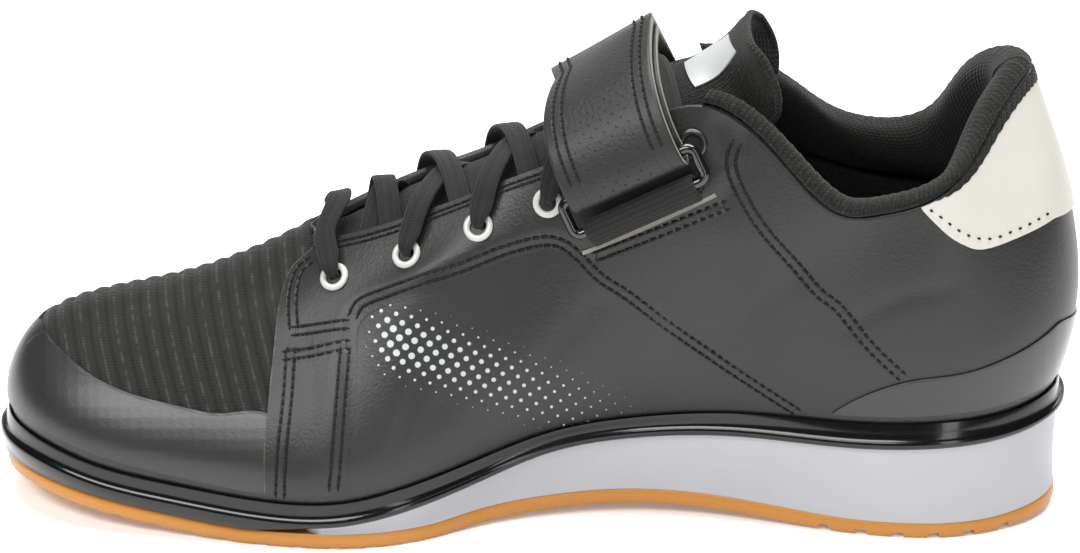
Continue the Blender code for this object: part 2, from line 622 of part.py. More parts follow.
def make_ring(paint):
    """The wire rectangle: two long bars along the slope, joined by short ends."""
    half = (RING_LONG - WIRE) / 2
    top, low = np.array(RING_TOP), np.array(RING_LOW)
    round_off = 2.2
    path = []
    for start, end, run in ((top, low, half), (low, top, -half)):
        step = unit(end - start)
        sign = np.sign(run)
        path.append(across_instep(*start, run - sign * round_off))
        path.append(across_instep(*(start + step * 0.6), run - sign * 0.6))
        path.append(across_instep(*(start + step * round_off), run))
        path.append(across_instep(*(end - step * round_off), run))
        path.append(across_instep(*(end - step * 0.6), run - sign * 0.6))
        path.append(across_instep(*end, run - sign * round_off))
    side = unit(np.cross(path[0] - path[-1], path[3] - path[2]))
    return tube("strap_ring", path, WIRE / 2, 8, paint, closed=True, up=side)


def tube(name, path, radius, sides, paint, closed=True, flat=1.0, up=None, collection=None):
    """A round or flattened bar along a path."""
    path = np.asarray(path, float)
    if closed:
        ahead = unit(np.roll(path, -1, axis=0) - np.roll(path, 1, axis=0))
    else:
        ahead = unit(np.gradient(path, axis=0))
    up = np.broadcast_to(np.array([0, 0, 1.0]) if up is None else np.asarray(up, float), path.shape)
    across = unit(np.cross(ahead, up))
    above = unit(np.cross(across, ahead))
    sections = []
    for k in range(sides):
        a = 2 * pi * (k + 0.5) / sides
        sections.append(path + across * cos(a) * radius + above * sin(a) * radius * flat)
    rings = np.stack(sections, axis=1)
    if closed:
        faces = loop_faces(sides, len(path), True)
        return solid(name, rings.reshape(-1, 3), faces, paint, collection)
    return strip(name, list(rings), paint, collection)


def eyelet_spots():
    """Column, row, centre, outward normal and up direction of each eyelet, by side."""
    spots = {}
    for hand in (-1, 1):
        spots[hand] = []
        for along, reach in EYELETS:
            best = None
            for column in edge_column(hand, x_at(along)) + np.arange(-1.5, 1.6, 0.1):
                edge = face(column, ROWS_UP - 1.0)[0]
                for row in np.arange(ROWS_UP - 3.5, ROWS_UP - 1.0, 0.1):
                    p, normal, rise = face(column, row)
                    miss = abs(p[0] - x_at(along)) + abs(np.linalg.norm(edge - p) - reach)
                    if best is None or miss < best[0]:
                        best = (miss, column, row, p, normal, rise)
            spots[hand].append(best[1:])
    return spots


def make_eyelets(paint):
    made = []
    for hand, found in eyelet_spots().items():
        for n, (_, _, p, normal, rise) in enumerate(found):
            across = unit(np.cross(rise, normal))
            up = unit(np.cross(normal, across))
            base = GAP + OVERLAY + 0.3
            profile = ((EYELET_INNER, base), (EYELET_OUTER, base), (EYELET_OUTER - 0.7, base + 1.0), (EYELET_INNER + 0.3, base + 1.0))
            sections = []
            for k in range(8):
                a = 2 * pi * k / 8
                radial = across * cos(a) + up * sin(a)
                sections.append([p + radial * r + normal * h for r, h in profile])
            points = np.vstack(sections)
            faces = loop_faces(len(profile), 8, True)
            side = "medial" if hand < 0 else "lateral"
            made.append(solid(f"eyelet_{side}_{n + 1}", points, faces, paint))
    return made


def lace_path(spot, hand, x_end, lift):
    """From an eyelet out over the throat's edge and across, down to the other edge."""
    column, row, p, normal, _ = spot
    over = GAP + OVERLAY + 1.3 + GAP + LACE_THICK / 2
    top = ROWS_UP - 1.0
    edge_x = p[0] + 0.25 * (x_end - p[0])
    edge, edge_n, _ = face(edge_column(hand, edge_x), top, over)
    midway = (face(column, (row + top) / 2, over + 0.4)[0] * 0.5 + (p + normal * over + edge) / 2 * 0.5)
    other = face(edge_column(-hand, x_end), top)[0] + np.array([0, 4.5 * hand, 0.6])
    middle = (edge + other) / 2 + np.array([0, 0, lift])
    up = [normal, unit(normal + edge_n), unit(edge_n + np.array([0, 0, 0.4])), np.array([0, 0, 1.0]), np.array([0, 0, 1.0])]
    points = [p + normal * over, midway, edge + np.array([0, -0.4 * hand, 0.6]), middle, other]
    at = np.linspace(0, 1, 8)
    return open_spline(points, at), unit(open_spline(np.array(up) + np.arange(5)[:, None] * 1e-4, at))


def inner_path(hand, x_start, x_end, lift):
    """From inside one edge of the throat across to inside the other, below both."""
    top = ROWS_UP - 1.0
    start = face(edge_column(hand, x_start), top)[0] + np.array([0, -4.5 * hand, 0.6])
    other = face(edge_column(-hand, x_end), top)[0] + np.array([0, 4.5 * hand, 0.6])
    middle = (start + other) / 2 + np.array([0, 0, lift])
    return open_spline([start, middle, other], np.linspace(0, 1, 7)), np.array([0, 0, 1.0])


def bar_path(spots, lift):
    """Straight across between the two front eyelets, over both edges of the throat."""
    halves, ups = [], []
    for hand in (-1, 1):
        x = spots[hand][0][2][0]
        path, up = lace_path(spots[hand][0], hand, x - 8.0, 0.0)
        halves.append(path[:4])
        ups.append(up[:4])
    middle = (halves[0][-1] + halves[1][-1]) / 2 + np.array([3.0, 0, lift])
    points = np.array([*halves[0], middle, *halves[1][::-1]])
    up = np.array([*ups[0], [0, 0, 1.0], *ups[1][::-1]])
    at = np.linspace(0, 1, 11)
    return open_spline(points, at), unit(open_spline(up, at))


def band(name, path, up, paint):
    return tube(name, path, LACE_WIDTH / 2, 6, paint, closed=False, flat=LACE_THICK / LACE_WIDTH, up=up)


def make_laces(paint):
    spots = eyelet_spots()
    band("lace_bar", *bar_path(spots, BAR_LIFT), paint)
    for n in range(len(EYELETS) - 1):
        strands = []
        for hand, lift in ((-1, 2.6 + 0.9 * n), (1, 3.2 + 0.9 * n)):
            x_end = spots[-hand][n + 1][2][0] - 5.0
            if n == 0:
                found = inner_path(hand, spots[hand][0][2][0] + 8.0, x_end, lift + 4.0)
            else:
                found = lace_path(spots[hand][n], hand, x_end, lift)
            strands.append(band(f"lace_{n + 1}", *found, paint))
        cross = boolean(strands[0], strands[1], "UNION")
        cross.name = f"lace_cross_{n + 1}"
        cross.data.name = cross.name


def centre():
    """Moves all pieces so that the origin is the middle of their box, on the floor."""
    made = list(PARTS.objects)
    at = np.array([v.co for piece in made for v in piece.data.vertices])
    low, high = at.min(axis=0), at.max(axis=0)
    shift = Matrix.Translation((-(low[0] + high[0]) / 2, -(low[1] + high[1]) / 2, -low[2]))
    for piece in made:
        piece.data.transform(shift)


def make_all():
    leather = material("upper_leather", (0.035, 0.036, 0.036), 0.5)
    textile = material("collar_textile", (0.02, 0.021, 0.021), 0.9)
    tongue_cloth = material("tongue_textile", (0.022, 0.023, 0.023), 0.9)
    gum = material("gum_rubber", (0.72, 0.32, 0.08), 0.5)
    white = material("midsole_white", (0.70, 0.70, 0.72), 0.5)
    gloss = material("rim_gloss", (0.012, 0.012, 0.013), 0.2)
    satin = material("guard_film", (0.03, 0.031, 0.031), 0.35)
    overlay_paint = material("eyestay_leather", (0.034, 0.035, 0.035), 0.5)
    patch_paint = material("heel_patch_white", (0.78, 0.77, 0.74), 0.6)
    sock = material("insole_cloth", (0.03, 0.03, 0.03), 0.9)
    metal = material("eyelet_metal", (0.65, 0.65, 0.62), 0.3)
    cord = material("lace_textile", (0.015, 0.015, 0.016), 0.8)
    webbing = material("loop_webbing", (0.016, 0.016, 0.017), 0.8)
    edge_paint = material("slit_raw_edge", (0.30, 0.28, 0.26), 0.7)
    make_outsole(gum)
    make_midsole(white)
    make_rim(gloss)
    make_upper(leather)
    make_insole(sock)
    make_tongue(tongue_cloth)
    make_collar(textile)
    clothing("toe_guard", GUARD, -90, 90, satin, first=1.12, last=7.0, thick=0.7)
    clothing("heel_counter", COUNTER, -90, 90, satin, first=1.12, last=7.0, thick=0.7)
    clothing("heel_patch", PATCH, -90, 90, patch_paint, first=4.0, last=ROWS_UP - 1.0)
    clothing("eyestay_medial", EYESTAY, -90, -3, overlay_paint, first=1.12)
    clothing("eyestay_lateral", EYESTAY, 3, 90, overlay_paint, first=1.12)
    clothing("slit_edge", SLIT, -90, -3, edge_paint, first=3.0, base=GAP + OVERLAY + GAP, thick=0.6)
    make_eyelets(metal)
    make_laces(cord)
    ribbon("strap", STRAP_PATH, STRAP_THICK, STRAP_WIDTH, leather)
    make_ring(gloss)
    ribbon("ring_loop", LOOP_PATH, LOOP_THICK, STRAP_WIDTH - 1.0, webbing)
    centre()


for old in list(bpy.data.objects):
    bpy.data.objects.remove(old)
PARTS = bpy.data.collections.new("weightlifting_shoe")
bpy.context.scene.collection.children.link(PARTS)
make_all()
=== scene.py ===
"""Weightlifting shoe: dresses the CAD frame with stitched leather, ribbed knit, laces, strap and a studio."""

from functools import partial
from math import cos, pi, radians, sin

import bpy
import numpy as np
from bpy.props import FloatProperty, FloatVectorProperty, PointerProperty
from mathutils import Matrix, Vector
from mathutils.bvhtree import BVHTree


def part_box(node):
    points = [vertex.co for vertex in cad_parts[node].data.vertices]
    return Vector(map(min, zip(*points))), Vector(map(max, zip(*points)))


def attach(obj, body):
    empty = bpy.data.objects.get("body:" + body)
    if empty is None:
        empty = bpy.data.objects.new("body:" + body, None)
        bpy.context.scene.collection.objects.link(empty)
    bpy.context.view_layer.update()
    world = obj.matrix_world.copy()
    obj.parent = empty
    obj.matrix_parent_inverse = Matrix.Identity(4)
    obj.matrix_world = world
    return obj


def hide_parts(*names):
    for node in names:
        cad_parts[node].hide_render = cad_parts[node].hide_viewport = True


bl_info = {
    "name": "Weightlifting shoe",
    "version": (1, 0, 0),
    "blender": (4, 5, 0),
    "location": "3D View > Sidebar > Shoe",
    "description": "Builds the dressed weightlifting shoe on its CAD frame",
    "category": "Object",
}

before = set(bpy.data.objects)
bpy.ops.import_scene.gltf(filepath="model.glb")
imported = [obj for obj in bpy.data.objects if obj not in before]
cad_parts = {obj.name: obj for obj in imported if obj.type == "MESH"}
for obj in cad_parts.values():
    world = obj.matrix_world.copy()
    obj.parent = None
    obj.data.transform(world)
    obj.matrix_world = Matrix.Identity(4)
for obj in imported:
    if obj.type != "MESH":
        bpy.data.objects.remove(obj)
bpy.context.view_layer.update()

# Sizes in millimetres, the same as the part's source
LENGTH = 304.0
BALL_WIDTH = 107.0
TOP_HEIGHT = 127.0
LEATHER = 2.2
GAP = 0.42
RIM_REACH = 4.5
RIM_RISE = 4.2
RIM_DROP = 1.7
GUM_HEIGHT = 4.4
SOLE_INSET = 1.6
WEDGE_STARTS = 0.745
WEDGE_RUN = 16.0
MARGIN = 9.0
MARGIN_THICK = 2.0
INSOLE_THICK = 3.6
OVERLAY = 0.9
STRAP_WIDTH = 33.0
STRAP_THICK = 2.0
STRAP_SLOPE = 27.0
STRAP_ROWS = (10.8, 13.4)
LACE_WIDTH = 6.4
LACE_THICK = 1.5
BAR_LIFT = 6.5
EYELET_OUTER = 4.2
EYELET_INNER = 2.3
WIRE = 3.0
RING_LONG = 42.0
CAD_COLUMNS = 66
TOP_ROW = 9.0

# Columns round the shoe and rows up its side in the dressed model
FINE = 600
ROWS = np.concatenate([np.linspace(0, 1, 4)[:-1], np.linspace(1, TOP_ROW, 77)])

# One row for each section round the shoe, from the back of the heel by the medial side to the toe and back.
# along, top_along: share of LENGTH from the heel. side, outs: share of BALL_WIDTH, medial negative.
# lip, ground, ups: share of TOP_HEIGHT above the floor. Outs are measured outwards from the foot line.
COLUMN_NAMES = (
    "along", "side", "lip", "ground", "wall_out", "wall_up", "shoulder_out", "shoulder_up", "lift",
    "top_along", "top_side", "top_up",
)
SECTIONS = {
    "heel_back": (0.0, -0.01, 0.262, 0.014, 0.06, 0.5, 0.003, 0.78, 0.0, 0.048, -0.01, 1.0),
    "tab_medial": (0.013, -0.17, 0.256, 0.016, 0.05, 0.49, 0.003, 0.76, 0.0, 0.056, -0.1, 0.99),
    "heel_corner_medial": (0.052, -0.275, 0.24, 0.006, 0.04, 0.47, -0.003, 0.71, 0.0, 0.08, -0.19, 0.93),
    "heel_medial": (0.118, -0.345, 0.23, 0.0, 0.025, 0.41, 0.005, 0.64, 0.0, 0.118, -0.28, 0.8),
    "quarter_medial": (0.2, -0.33, 0.22, 0.002, 0.028, 0.4, 0.02, 0.61, 0.0, 0.182, -0.3, 0.735),
    "waist_rear_medial": (0.31, -0.262, 0.218, 0.022, 0.055, 0.385, 0.078, 0.64, 0.0, 0.25, -0.3, 0.79),
    "waist_medial": (0.405, -0.235, 0.198, 0.028, 0.08, 0.37, 0.085, 0.68, 0.0, 0.34, -0.235, 0.955),
    "waist_front_medial": (0.482, -0.272, 0.168, 0.02, 0.07, 0.34, 0.02, 0.62, 0.0, 0.428, -0.2, 0.865),
    "arch_medial": (0.535, -0.335, 0.128, 0.012, 0.045, 0.29, -0.03, 0.555, 0.0, 0.488, -0.18, 0.795),
    "ball_rear_medial": (0.593, -0.44, 0.098, 0.0, 0.022, 0.24, -0.11, 0.49, 0.0, 0.54, -0.16, 0.735),
    "ball_medial": (0.66, -0.495, 0.07, 0.0, 0.018, 0.205, -0.155, 0.44, 0.0, 0.604, -0.14, 0.668),
    "ball_front_medial": (0.735, -0.482, 0.066, 0.0, 0.018, 0.196, -0.16, 0.41, 0.0, 0.662, -0.115, 0.615),
    "toe_rear_medial": (0.82, -0.44, 0.085, 0.019, 0.014, 0.206, -0.16, 0.397, -0.018, 0.688, -0.075, 0.6),
    "toe_medial": (0.892, -0.398, 0.11, 0.044, 0.012, 0.222, -0.155, 0.394, -0.018, 0.696, -0.048, 0.604),
    "toe_corner_medial": (0.952, -0.31, 0.138, 0.064, 0.01, 0.244, -0.14, 0.394, -0.018, 0.7, -0.028, 0.61),
    "toe_front_medial": (0.988, -0.19, 0.148, 0.071, 0.008, 0.25, -0.11, 0.4, -0.018, 0.703, -0.012, 0.608),
    "toe_tip": (1.0, -0.06, 0.152, 0.074, 0.008, 0.252, -0.105, 0.402, -0.018, 0.704, 0.0, 0.608),
    "toe_front_lateral": (0.99, 0.068, 0.15, 0.072, 0.008, 0.25, -0.105, 0.4, -0.018, 0.703, 0.012, 0.608),
    "toe_corner_lateral": (0.958, 0.18, 0.142, 0.066, 0.01, 0.24, -0.122, 0.393, -0.018, 0.7, 0.028, 0.61),
    "toe_lateral": (0.9, 0.29, 0.118, 0.048, 0.014, 0.222, -0.132, 0.392, -0.018, 0.696, 0.05, 0.614),
    "toe_rear_lateral": (0.826, 0.378, 0.088, 0.02, 0.016, 0.2, -0.132, 0.395, -0.018, 0.688, 0.08, 0.608),
    "ball_front_lateral": (0.738, 0.445, 0.066, 0.002, 0.018, 0.19, -0.14, 0.395, 0.0, 0.662, 0.12, 0.63),
    "ball_lateral": (0.645, 0.498, 0.074, 0.0, 0.018, 0.2, -0.145, 0.42, 0.0, 0.604, 0.145, 0.69),
    "ball_rear_lateral": (0.55, 0.495, 0.108, 0.0, 0.018, 0.24, -0.125, 0.46, 0.0, 0.54, 0.165, 0.745),
    "waist_front_lateral": (0.465, 0.455, 0.146, 0.006, 0.018, 0.29, -0.09, 0.51, 0.0, 0.488, 0.185, 0.8),
    "waist_lateral": (0.38, 0.41, 0.18, 0.012, 0.02, 0.33, -0.06, 0.57, 0.0, 0.428, 0.205, 0.868),
    "waist_rear_lateral": (0.29, 0.378, 0.208, 0.012, 0.022, 0.36, -0.03, 0.62, 0.0, 0.34, 0.235, 0.95),
    "quarter_lateral": (0.2, 0.356, 0.222, 0.002, 0.024, 0.39, 0.0, 0.61, 0.0, 0.25, 0.295, 0.85),
    "heel_lateral": (0.122, 0.335, 0.23, 0.0, 0.025, 0.41, 0.005, 0.64, 0.0, 0.182, 0.305, 0.775),
    "heel_side_lateral": (0.07, 0.278, 0.238, 0.004, 0.036, 0.425, 0.0, 0.69, 0.0, 0.118, 0.28, 0.8),
    "heel_corner_lateral": (0.028, 0.185, 0.248, 0.012, 0.048, 0.44, 0.0, 0.73, 0.0, 0.084, 0.19, 0.935),
    "tab_lateral": (0.006, 0.085, 0.259, 0.017, 0.055, 0.455, 0.003, 0.77, 0.0, 0.056, 0.085, 0.99),
}

# Sections of the tongue above the throat: x and edge_x from the shoe's middle, as shares of LENGTH,
# edge_y as a share of BALL_WIDTH, z and edge_z as shares of TOP_HEIGHT.
TONGUE_TOP = {
    "mouth": dict(x=0.155, z=1.012, edge_x=0.217, edge_y=0.176, edge_z=0.905),
    "neck": dict(x=0.170, z=1.036, edge_x=0.225, edge_y=0.190, edge_z=0.945),
    "crown": dict(x=0.184, z=1.064, edge_x=0.222, edge_y=0.212, edge_z=0.998),
    "brim": dict(x=0.193, z=1.096, edge_x=0.210, edge_y=0.195, edge_z=1.055),
}

# Band round the instep, square to its slope: side and height from the top's middle, in millimetres
STRAP_MIDDLE = (0.431, 0.992)
STRAP_LEAN = (36.0, 26.0, 34.0)
STRAP_PATH = (
    (32.6, -44.0), (33.0, -34.0), (32.6, -24.0), (29.8, -13.2), (22.0, -5.8), (11.5, -1.6), (0.0, -0.2),
    (-11.5, -1.6), (-22.0, -5.8), (-28.6, -12.8), (-30.6, -18.0), (-30.9, -22.3), (-31.4, -24.7),
    (-33.6, -25.9),
    (-36.1, -24.8), (-37.0, -22.0), (-36.4, -17.0), (-32.8, -9.0), (-24.2, -1.9), (-12.6, 1.8), (0.0, 3.0),
    (12.6, 1.8), (24.2, -1.9), (32.4, -10.6), (35.8, -21.0), (36.6, -31.0), (36.4, -39.0),
)
RING_TOP = (-33.8, -22.3)
RING_LOW = (-35.2, -32.0)
LOOP_PATH = (
    (-32.1, -36.2), (-32.4, -34.6), (-32.7, -32.9), (-33.1, -31.2), (-34.6, -29.7), (-36.3, -29.9),
    (-37.5, -31.6), (-37.2, -33.6), (-36.1, -35.3), (-35.2, -36.5),
)
LOOP_THICK = 1.2
EYELETS = ((0.672, 15.4), (0.605, 16.0), (0.541, 15.4), (0.478, 14.6), (0.412, 12.0), (0.350, 9.5))

# The camera: turn, rise, distance and what it looks at in millimetres, and its focal length in pixels
CAMERA_TURN = 3.0
CAMERA_RISE = 20.5
CAMERA_AWAY = 900.0
CAMERA_TARGET = (3.0, 0.0, 62.4)
CAMERA_FOCAL = 3177.0
PHOTO_SIZE = (1080, 553)
PHOTO_MIDDLE = (540, 276.5)
PIXELS_PER_METRE = 3530.0

# Lines of the photo in its pixels, on the medial side. The lateral side has them mirrored.
GUARD_TOP = (
    (-60, 292), (20, 307), (40, 318), (52, 338), (67, 355), (88, 373), (117, 389), (150, 400), (184, 408),
    (224, 414), (272, 417),
)
STAY_FRONT = (
    (262, 560), (264, 498), (265, 458), (268, 418), (272, 378), (276, 340), (280, 310), (288, 281),
    (297, 265),
    (312, 252), (330, 225),
)
STAY_BACK = (
    (343, 560), (346, 500), (354, 420), (357, 350), (358, 330), (366, 316), (400, 301), (435, 289),
    (470, 276),
    (500, 264), (527, 255), (546, 250), (566, 253), (600, 263), (660, 233), (725, 203), (748, 150),
    (745, 110),
)
COUNTER_TOP = ((780, 470), (831, 414), (887, 387), (921, 379), (971, 371), (1033, 343), (1058, 322))
PATCH_EDGE = (
    (921, 208), (927, 215), (938, 226), (950, 237), (964, 245), (976, 249), (991, 247), (1015, 238),
    (1040, 226), (1052, 218),
)
PATCH_ROW = (
    (931, 210), (941, 217), (951, 225), (963, 233), (977, 238), (991, 238), (1002, 235),
    (1011, 231), (1021, 227),
    (1033, 221), (1045, 214),
)
SLIT_LINE = ((583, 252.8), (620, 238.0), (665, 218.5), (716, 194.5))

# Middle lines of the doubly stitched seams, in pixels of the photo
SEAMS = {
    "stay_front": ((281, 495), (282, 463), (285, 431), (289, 394), (291, 364), (292.5, 351)),
    "stay_rear": ((334, 488), (340, 420), (346, 350)),
    "box_top": ((286, 357), (318, 352), (349, 345)),
    "box_throat": ((295, 328), (294, 304), (297, 284), (303, 270), (312, 263)),
    "box_bar": ((295, 332.5), (321.5, 329), (348, 325)),
    "slit": ((596.5, 256.4), (660, 232), (725.7, 205.7)),
    "saddle": (
        (354, 316), (359, 306.5), (367, 301), (392, 291.5), (427, 279), (464.5, 266.6), (498, 253),
        (525, 244.6),
        (546, 241), (563, 244.6), (583, 260.9), (600, 278), (622, 292), (644, 308), (692, 343),
        (748, 381), (796, 412),
    ),
    "collar": (
        (737, 143.5), (732, 153), (732, 168), (738, 187.5), (748, 206.6), (759, 224), (772.5, 241),
        (788, 258),
        (801, 273), (821, 295), (836, 306), (864, 340), (901, 376),
    ),
}
SEAM_HALF = 1.2
# Millimetres that stand for no seam or edge near
FAR = 9.0
# How far up the throat its stitched border runs
BORDER_ENDS = 0.385


def x_at(along):
    """Heel is at +X, toe at -X."""
    return LENGTH / 2 - np.asarray(along, float) * LENGTH


def unit(v):
    return v / np.maximum(np.linalg.norm(v, axis=-1, keepdims=True), 1e-9)


def run_along(points):
    """The length along a line of points, at each of them."""
    return np.concatenate([[0], np.cumsum(np.linalg.norm(np.diff(points, axis=0), axis=1))])


def closed_spline(knots, rows):
    """A smooth closed curve through the rows: returns a function of knots 0 to 1."""
    count = len(rows)
    step = np.diff(knots)
    left = np.zeros((count, count))
    right = np.zeros_like(rows)
    for i in range(count):
        before, after = step[i - 1], step[i]
        left[i, i - 1] += after
        left[i, i] += 2 * (before + after)
        left[i, (i + 1) % count] += before
        behind, ahead = rows[i] - rows[i - 1], rows[(i + 1) % count] - rows[i]
        right[i] = 3 * (after * behind / before + before * ahead / after)
    slope = np.linalg.solve(left, right)

    def curve(at):
        at = np.asarray(at, float) % 1.0
        i = np.clip(np.searchsorted(knots, at, side="right") - 1, 0, count - 1)
        h = step[i][:, None]
        s = ((at - knots[i]) / step[i])[:, None]
        j = (i + 1) % count
        return (
            (1 + 2 * s) * (1 - s) ** 2 * rows[i] + s * (1 - s) ** 2 * h * slope[i]
            + s * s * (3 - 2 * s) * rows[j] + s * s * (s - 1) * h * slope[j]
        )

    return curve


def open_spline(points, at):
    """Points at shares of a smooth open curve through the points."""
    points = np.asarray(points, float)
    last = len(points) - 1
    knots = np.concatenate([[0], np.cumsum(np.linalg.norm(np.diff(points, axis=0), axis=1) ** 0.5)])
    knots /= knots[-1]
    h = np.diff(knots)
    left = np.zeros((last + 1, last + 1))
    right = np.zeros_like(points)
    left[0, :2] = 2, 1
    left[-1, -2:] = 1, 2
    right[0] = 3 * (points[1] - points[0]) / h[0]
    right[-1] = 3 * (points[-1] - points[-2]) / h[-1]
    for i in range(1, last):
        left[i, i - 1:i + 2] = h[i], 2 * (h[i - 1] + h[i]), h[i - 1]
        behind, ahead = points[i] - points[i - 1], points[i + 1] - points[i]
        right[i] = 3 * (h[i] * behind / h[i - 1] + h[i - 1] * ahead / h[i])
    slope = np.linalg.solve(left, right)
    i = np.clip(np.searchsorted(knots, at, side="right") - 1, 0, last - 1)
    s = ((at - knots[i]) / h[i])[:, None]
    step = h[i][:, None]
    return (
        (1 + 2 * s) * (1 - s) ** 2 * points[i] + s * (1 - s) ** 2 * step * slope[i]
        + s * s * (3 - 2 * s) * points[i + 1] + s * s * (s - 1) * step * slope[i + 1]
    )


def even(points, count):
    """Evenly spaced points on a smooth curve through the points."""
    fine = open_spline(points, np.linspace(0, 1, 400))
    run = run_along(fine)
    wanted = np.linspace(0, run[-1], count)
    return np.column_stack([np.interp(wanted, run, fine[:, k]) for k in range(fine.shape[1])])


def outline(count):
    """The lip's plan, its heights and the upper's columns, in millimetres, and the way out of each column."""
    table = np.array(list(SECTIONS.values()), float)
    get = dict(zip(COLUMN_NAMES, table.T))
    rows = np.column_stack([
        x_at(get["along"]), get["side"] * BALL_WIDTH, get["lip"] * TOP_HEIGHT, get["ground"] * TOP_HEIGHT,
        get["wall_out"] * BALL_WIDTH, get["wall_up"] * TOP_HEIGHT,
        get["shoulder_out"] * BALL_WIDTH, get["shoulder_up"] * TOP_HEIGHT, get["lift"] * TOP_HEIGHT,
        x_at(get["top_along"]), get["top_side"] * BALL_WIDTH, get["top_up"] * TOP_HEIGHT,
    ])
    tip = list(SECTIONS).index("toe_tip")
    loop = np.vstack([rows, rows[:1]])
    run = run_along(loop[:, :2])
    knots = np.where(
        np.arange(len(run)) <= tip, 0.5 * run / run[tip], 0.5 + 0.5 * (run - run[tip]) / (run[-1] - run[tip])
    )
    curve = closed_spline(knots, rows)
    at = np.arange(count) / count
    ahead = curve(at + 1e-4)[:, :2] - curve(at - 1e-4)[:, :2]
    values = curve(at)
    out = unit(np.column_stack([ahead[:, 1], -ahead[:, 0]]))
    if np.mean(np.sum(out * (values[:, :2] - values[:, :2].mean(axis=0)), axis=1)) < 0:
        out = -out
    return values, out


class Outline:
    """The sole's plan at a number of columns, with its heights."""

    def __init__(self, count):
        self.count = count
        self.values, self.out = outline(count)
        self.xy = self.values[:, :2]
        self.lip = self.values[:, 2]
        self.ground = np.maximum(self.values[:, 3] - 0.25, 0.0)

    def plan(self, inset):
        return self.xy - self.out * np.asarray(inset, float).reshape(-1, 1)

    def field(self, heights):
        """A height at any plan point, from the values along the medial and the lateral outline."""
        half = self.count // 2
        sides = []
        for side in (np.arange(half + 1), np.r_[half:self.count, 0]):
            order = np.argsort(self.xy[side, 0])
            sides.append((self.xy[side, 0][order], self.xy[side, 1][order], heights[side][order]))

        def at(xy):
            x, y = np.asarray(xy, float).T
            (y0, z0), (y1, z1) = [(np.interp(x, sx, sy), np.interp(x, sx, sz)) for sx, sy, sz in sides]
            share = np.clip((y - y0) / np.maximum(y1 - y0, 1.0), 0, 1)
            return z0 + (z1 - z0) * share

        return at

    def ring(self, inset, up=0.0, height=None):
        """A ring inside the outline at heights, or at a height above a field."""
        xy = self.plan(inset)
        if height is not None:
            up = height(xy) + up
        return np.column_stack([xy, np.broadcast_to(up, len(xy))])


SOLE = Outline(FINE)
COARSE = Outline(CAD_COLUMNS)
BED = SOLE.field(SOLE.lip)
FLOOR = SOLE.field(SOLE.ground)
LOW_CORNER = np.array(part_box("rim")[0]) * 1000
SHIFT = np.array([LOW_CORNER[0] - COARSE.xy[:, 0].min(), LOW_CORNER[1] - COARSE.xy[:, 1].min(), 0.0])


def under_rim(xy):
    """The rim's lower face: on the gum round the toe, above the white wedge behind the ball."""
    gum = FLOOR(xy) + GUM_HEIGHT + GAP
    wedge = np.clip((xy[:, 0] - x_at(WEDGE_STARTS)) / WEDGE_RUN, 0, 1)
    return gum + (BED(xy) - RIM_DROP - gum) * wedge


def last_surface(sole):
    """The upper's outer face as a grid of columns by rows, with its outward normals and up directions."""
    foot = sole.plan(RIM_REACH)
    grid = np.zeros((sole.count, len(ROWS), 3))
    first = RIM_RISE + 1.2
    for c in range(sole.count):
        _, _, lip, _, wall_out, wall_up, shoulder_out, shoulder_up, lift, top_x, top_y, top_z = sole.values[c]
        feet = np.array([foot[c, 0], foot[c, 1], lip])
        wall = np.array([*(foot[c] + sole.out[c] * wall_out), wall_up])
        shoulder = np.array([*(foot[c] + sole.out[c] * shoulder_out), shoulder_up])
        top = np.array([top_x, top_y, top_z])
        middle = (shoulder + top) / 2 + np.array([0, 0, lift])
        fine = open_spline(np.array([feet, wall, shoulder, middle, top]), np.linspace(0, 1, 121))
        run = run_along(fine)
        share = np.clip((ROWS - 1) / (TOP_ROW - 1), 0, 1) ** 0.92
        wanted = np.where(ROWS < 1, ROWS * first, first + (run[-1] - first) * share)
        for k in range(3):
            grid[c, :, k] = np.interp(wanted, run, fine[:, k])
    around = np.roll(grid, -1, axis=0) - np.roll(grid, 1, axis=0)
    up = np.gradient(grid, axis=1)
    normal = unit(np.cross(up, around))
    out = np.repeat(sole.out[:, None, :], len(ROWS), axis=1)
    turned = np.sum(normal[:, :40, :2] * out[:, :40], axis=(1, 2)) < 0
    normal[turned] *= -1
    return grid, normal, unit(up)


SKIN, NORMAL, RISE = last_surface(SOLE)


def sample(share, row, grids=None):
    """Points, outward normals and up directions of the upper's face, between its columns and rows."""
    share, row = np.broadcast_arrays(np.asarray(share, float), np.asarray(row, float))
    column = (share % 1.0) * FINE
    c = np.floor(column).astype(int) % FINE
    s = (column - np.floor(column))[..., None]
    place = np.interp(row, ROWS, np.arange(len(ROWS)))
    r = np.minimum(np.floor(place).astype(int), len(ROWS) - 2)
    t = (place - r)[..., None]
    d = (c + 1) % FINE
    found = []
    for grid in grids or (SKIN, NORMAL, RISE):
        low = grid[c, r] * (1 - s) + grid[d, r] * s
        high = grid[c, r + 1] * (1 - s) + grid[d, r + 1] * s
        found.append(low * (1 - t) + high * t)
    return found


def face(share, row, off=0.0):
    """One point of the upper's face, with its outward normal and up direction."""
    point, normal, rise = sample(share, row)
    normal = unit(normal)
    return point + normal * off, normal, unit(rise)


def skin(row, off, up=0.0):
    """A ring of points on the upper's face, moved out and up."""
    shares = np.arange(FINE) / FINE
    point, normal, rise = sample(shares, np.full(FINE, float(row)))
    return point + unit(normal) * np.reshape(off, (-1, 1)) + unit(rise) * np.reshape(up, (-1, 1))


def corner(hand):
    """The share of the outline where throat and collar meet, on one side."""
    tops = SKIN[:, -1]
    half = FINE // 2
    order = range(1, half) if hand < 0 else range(half + 1, FINE)
    return max(order, key=lambda c: tops[c, 2] if tops[c, 0] < x_at(0.22) else -1) / FINE


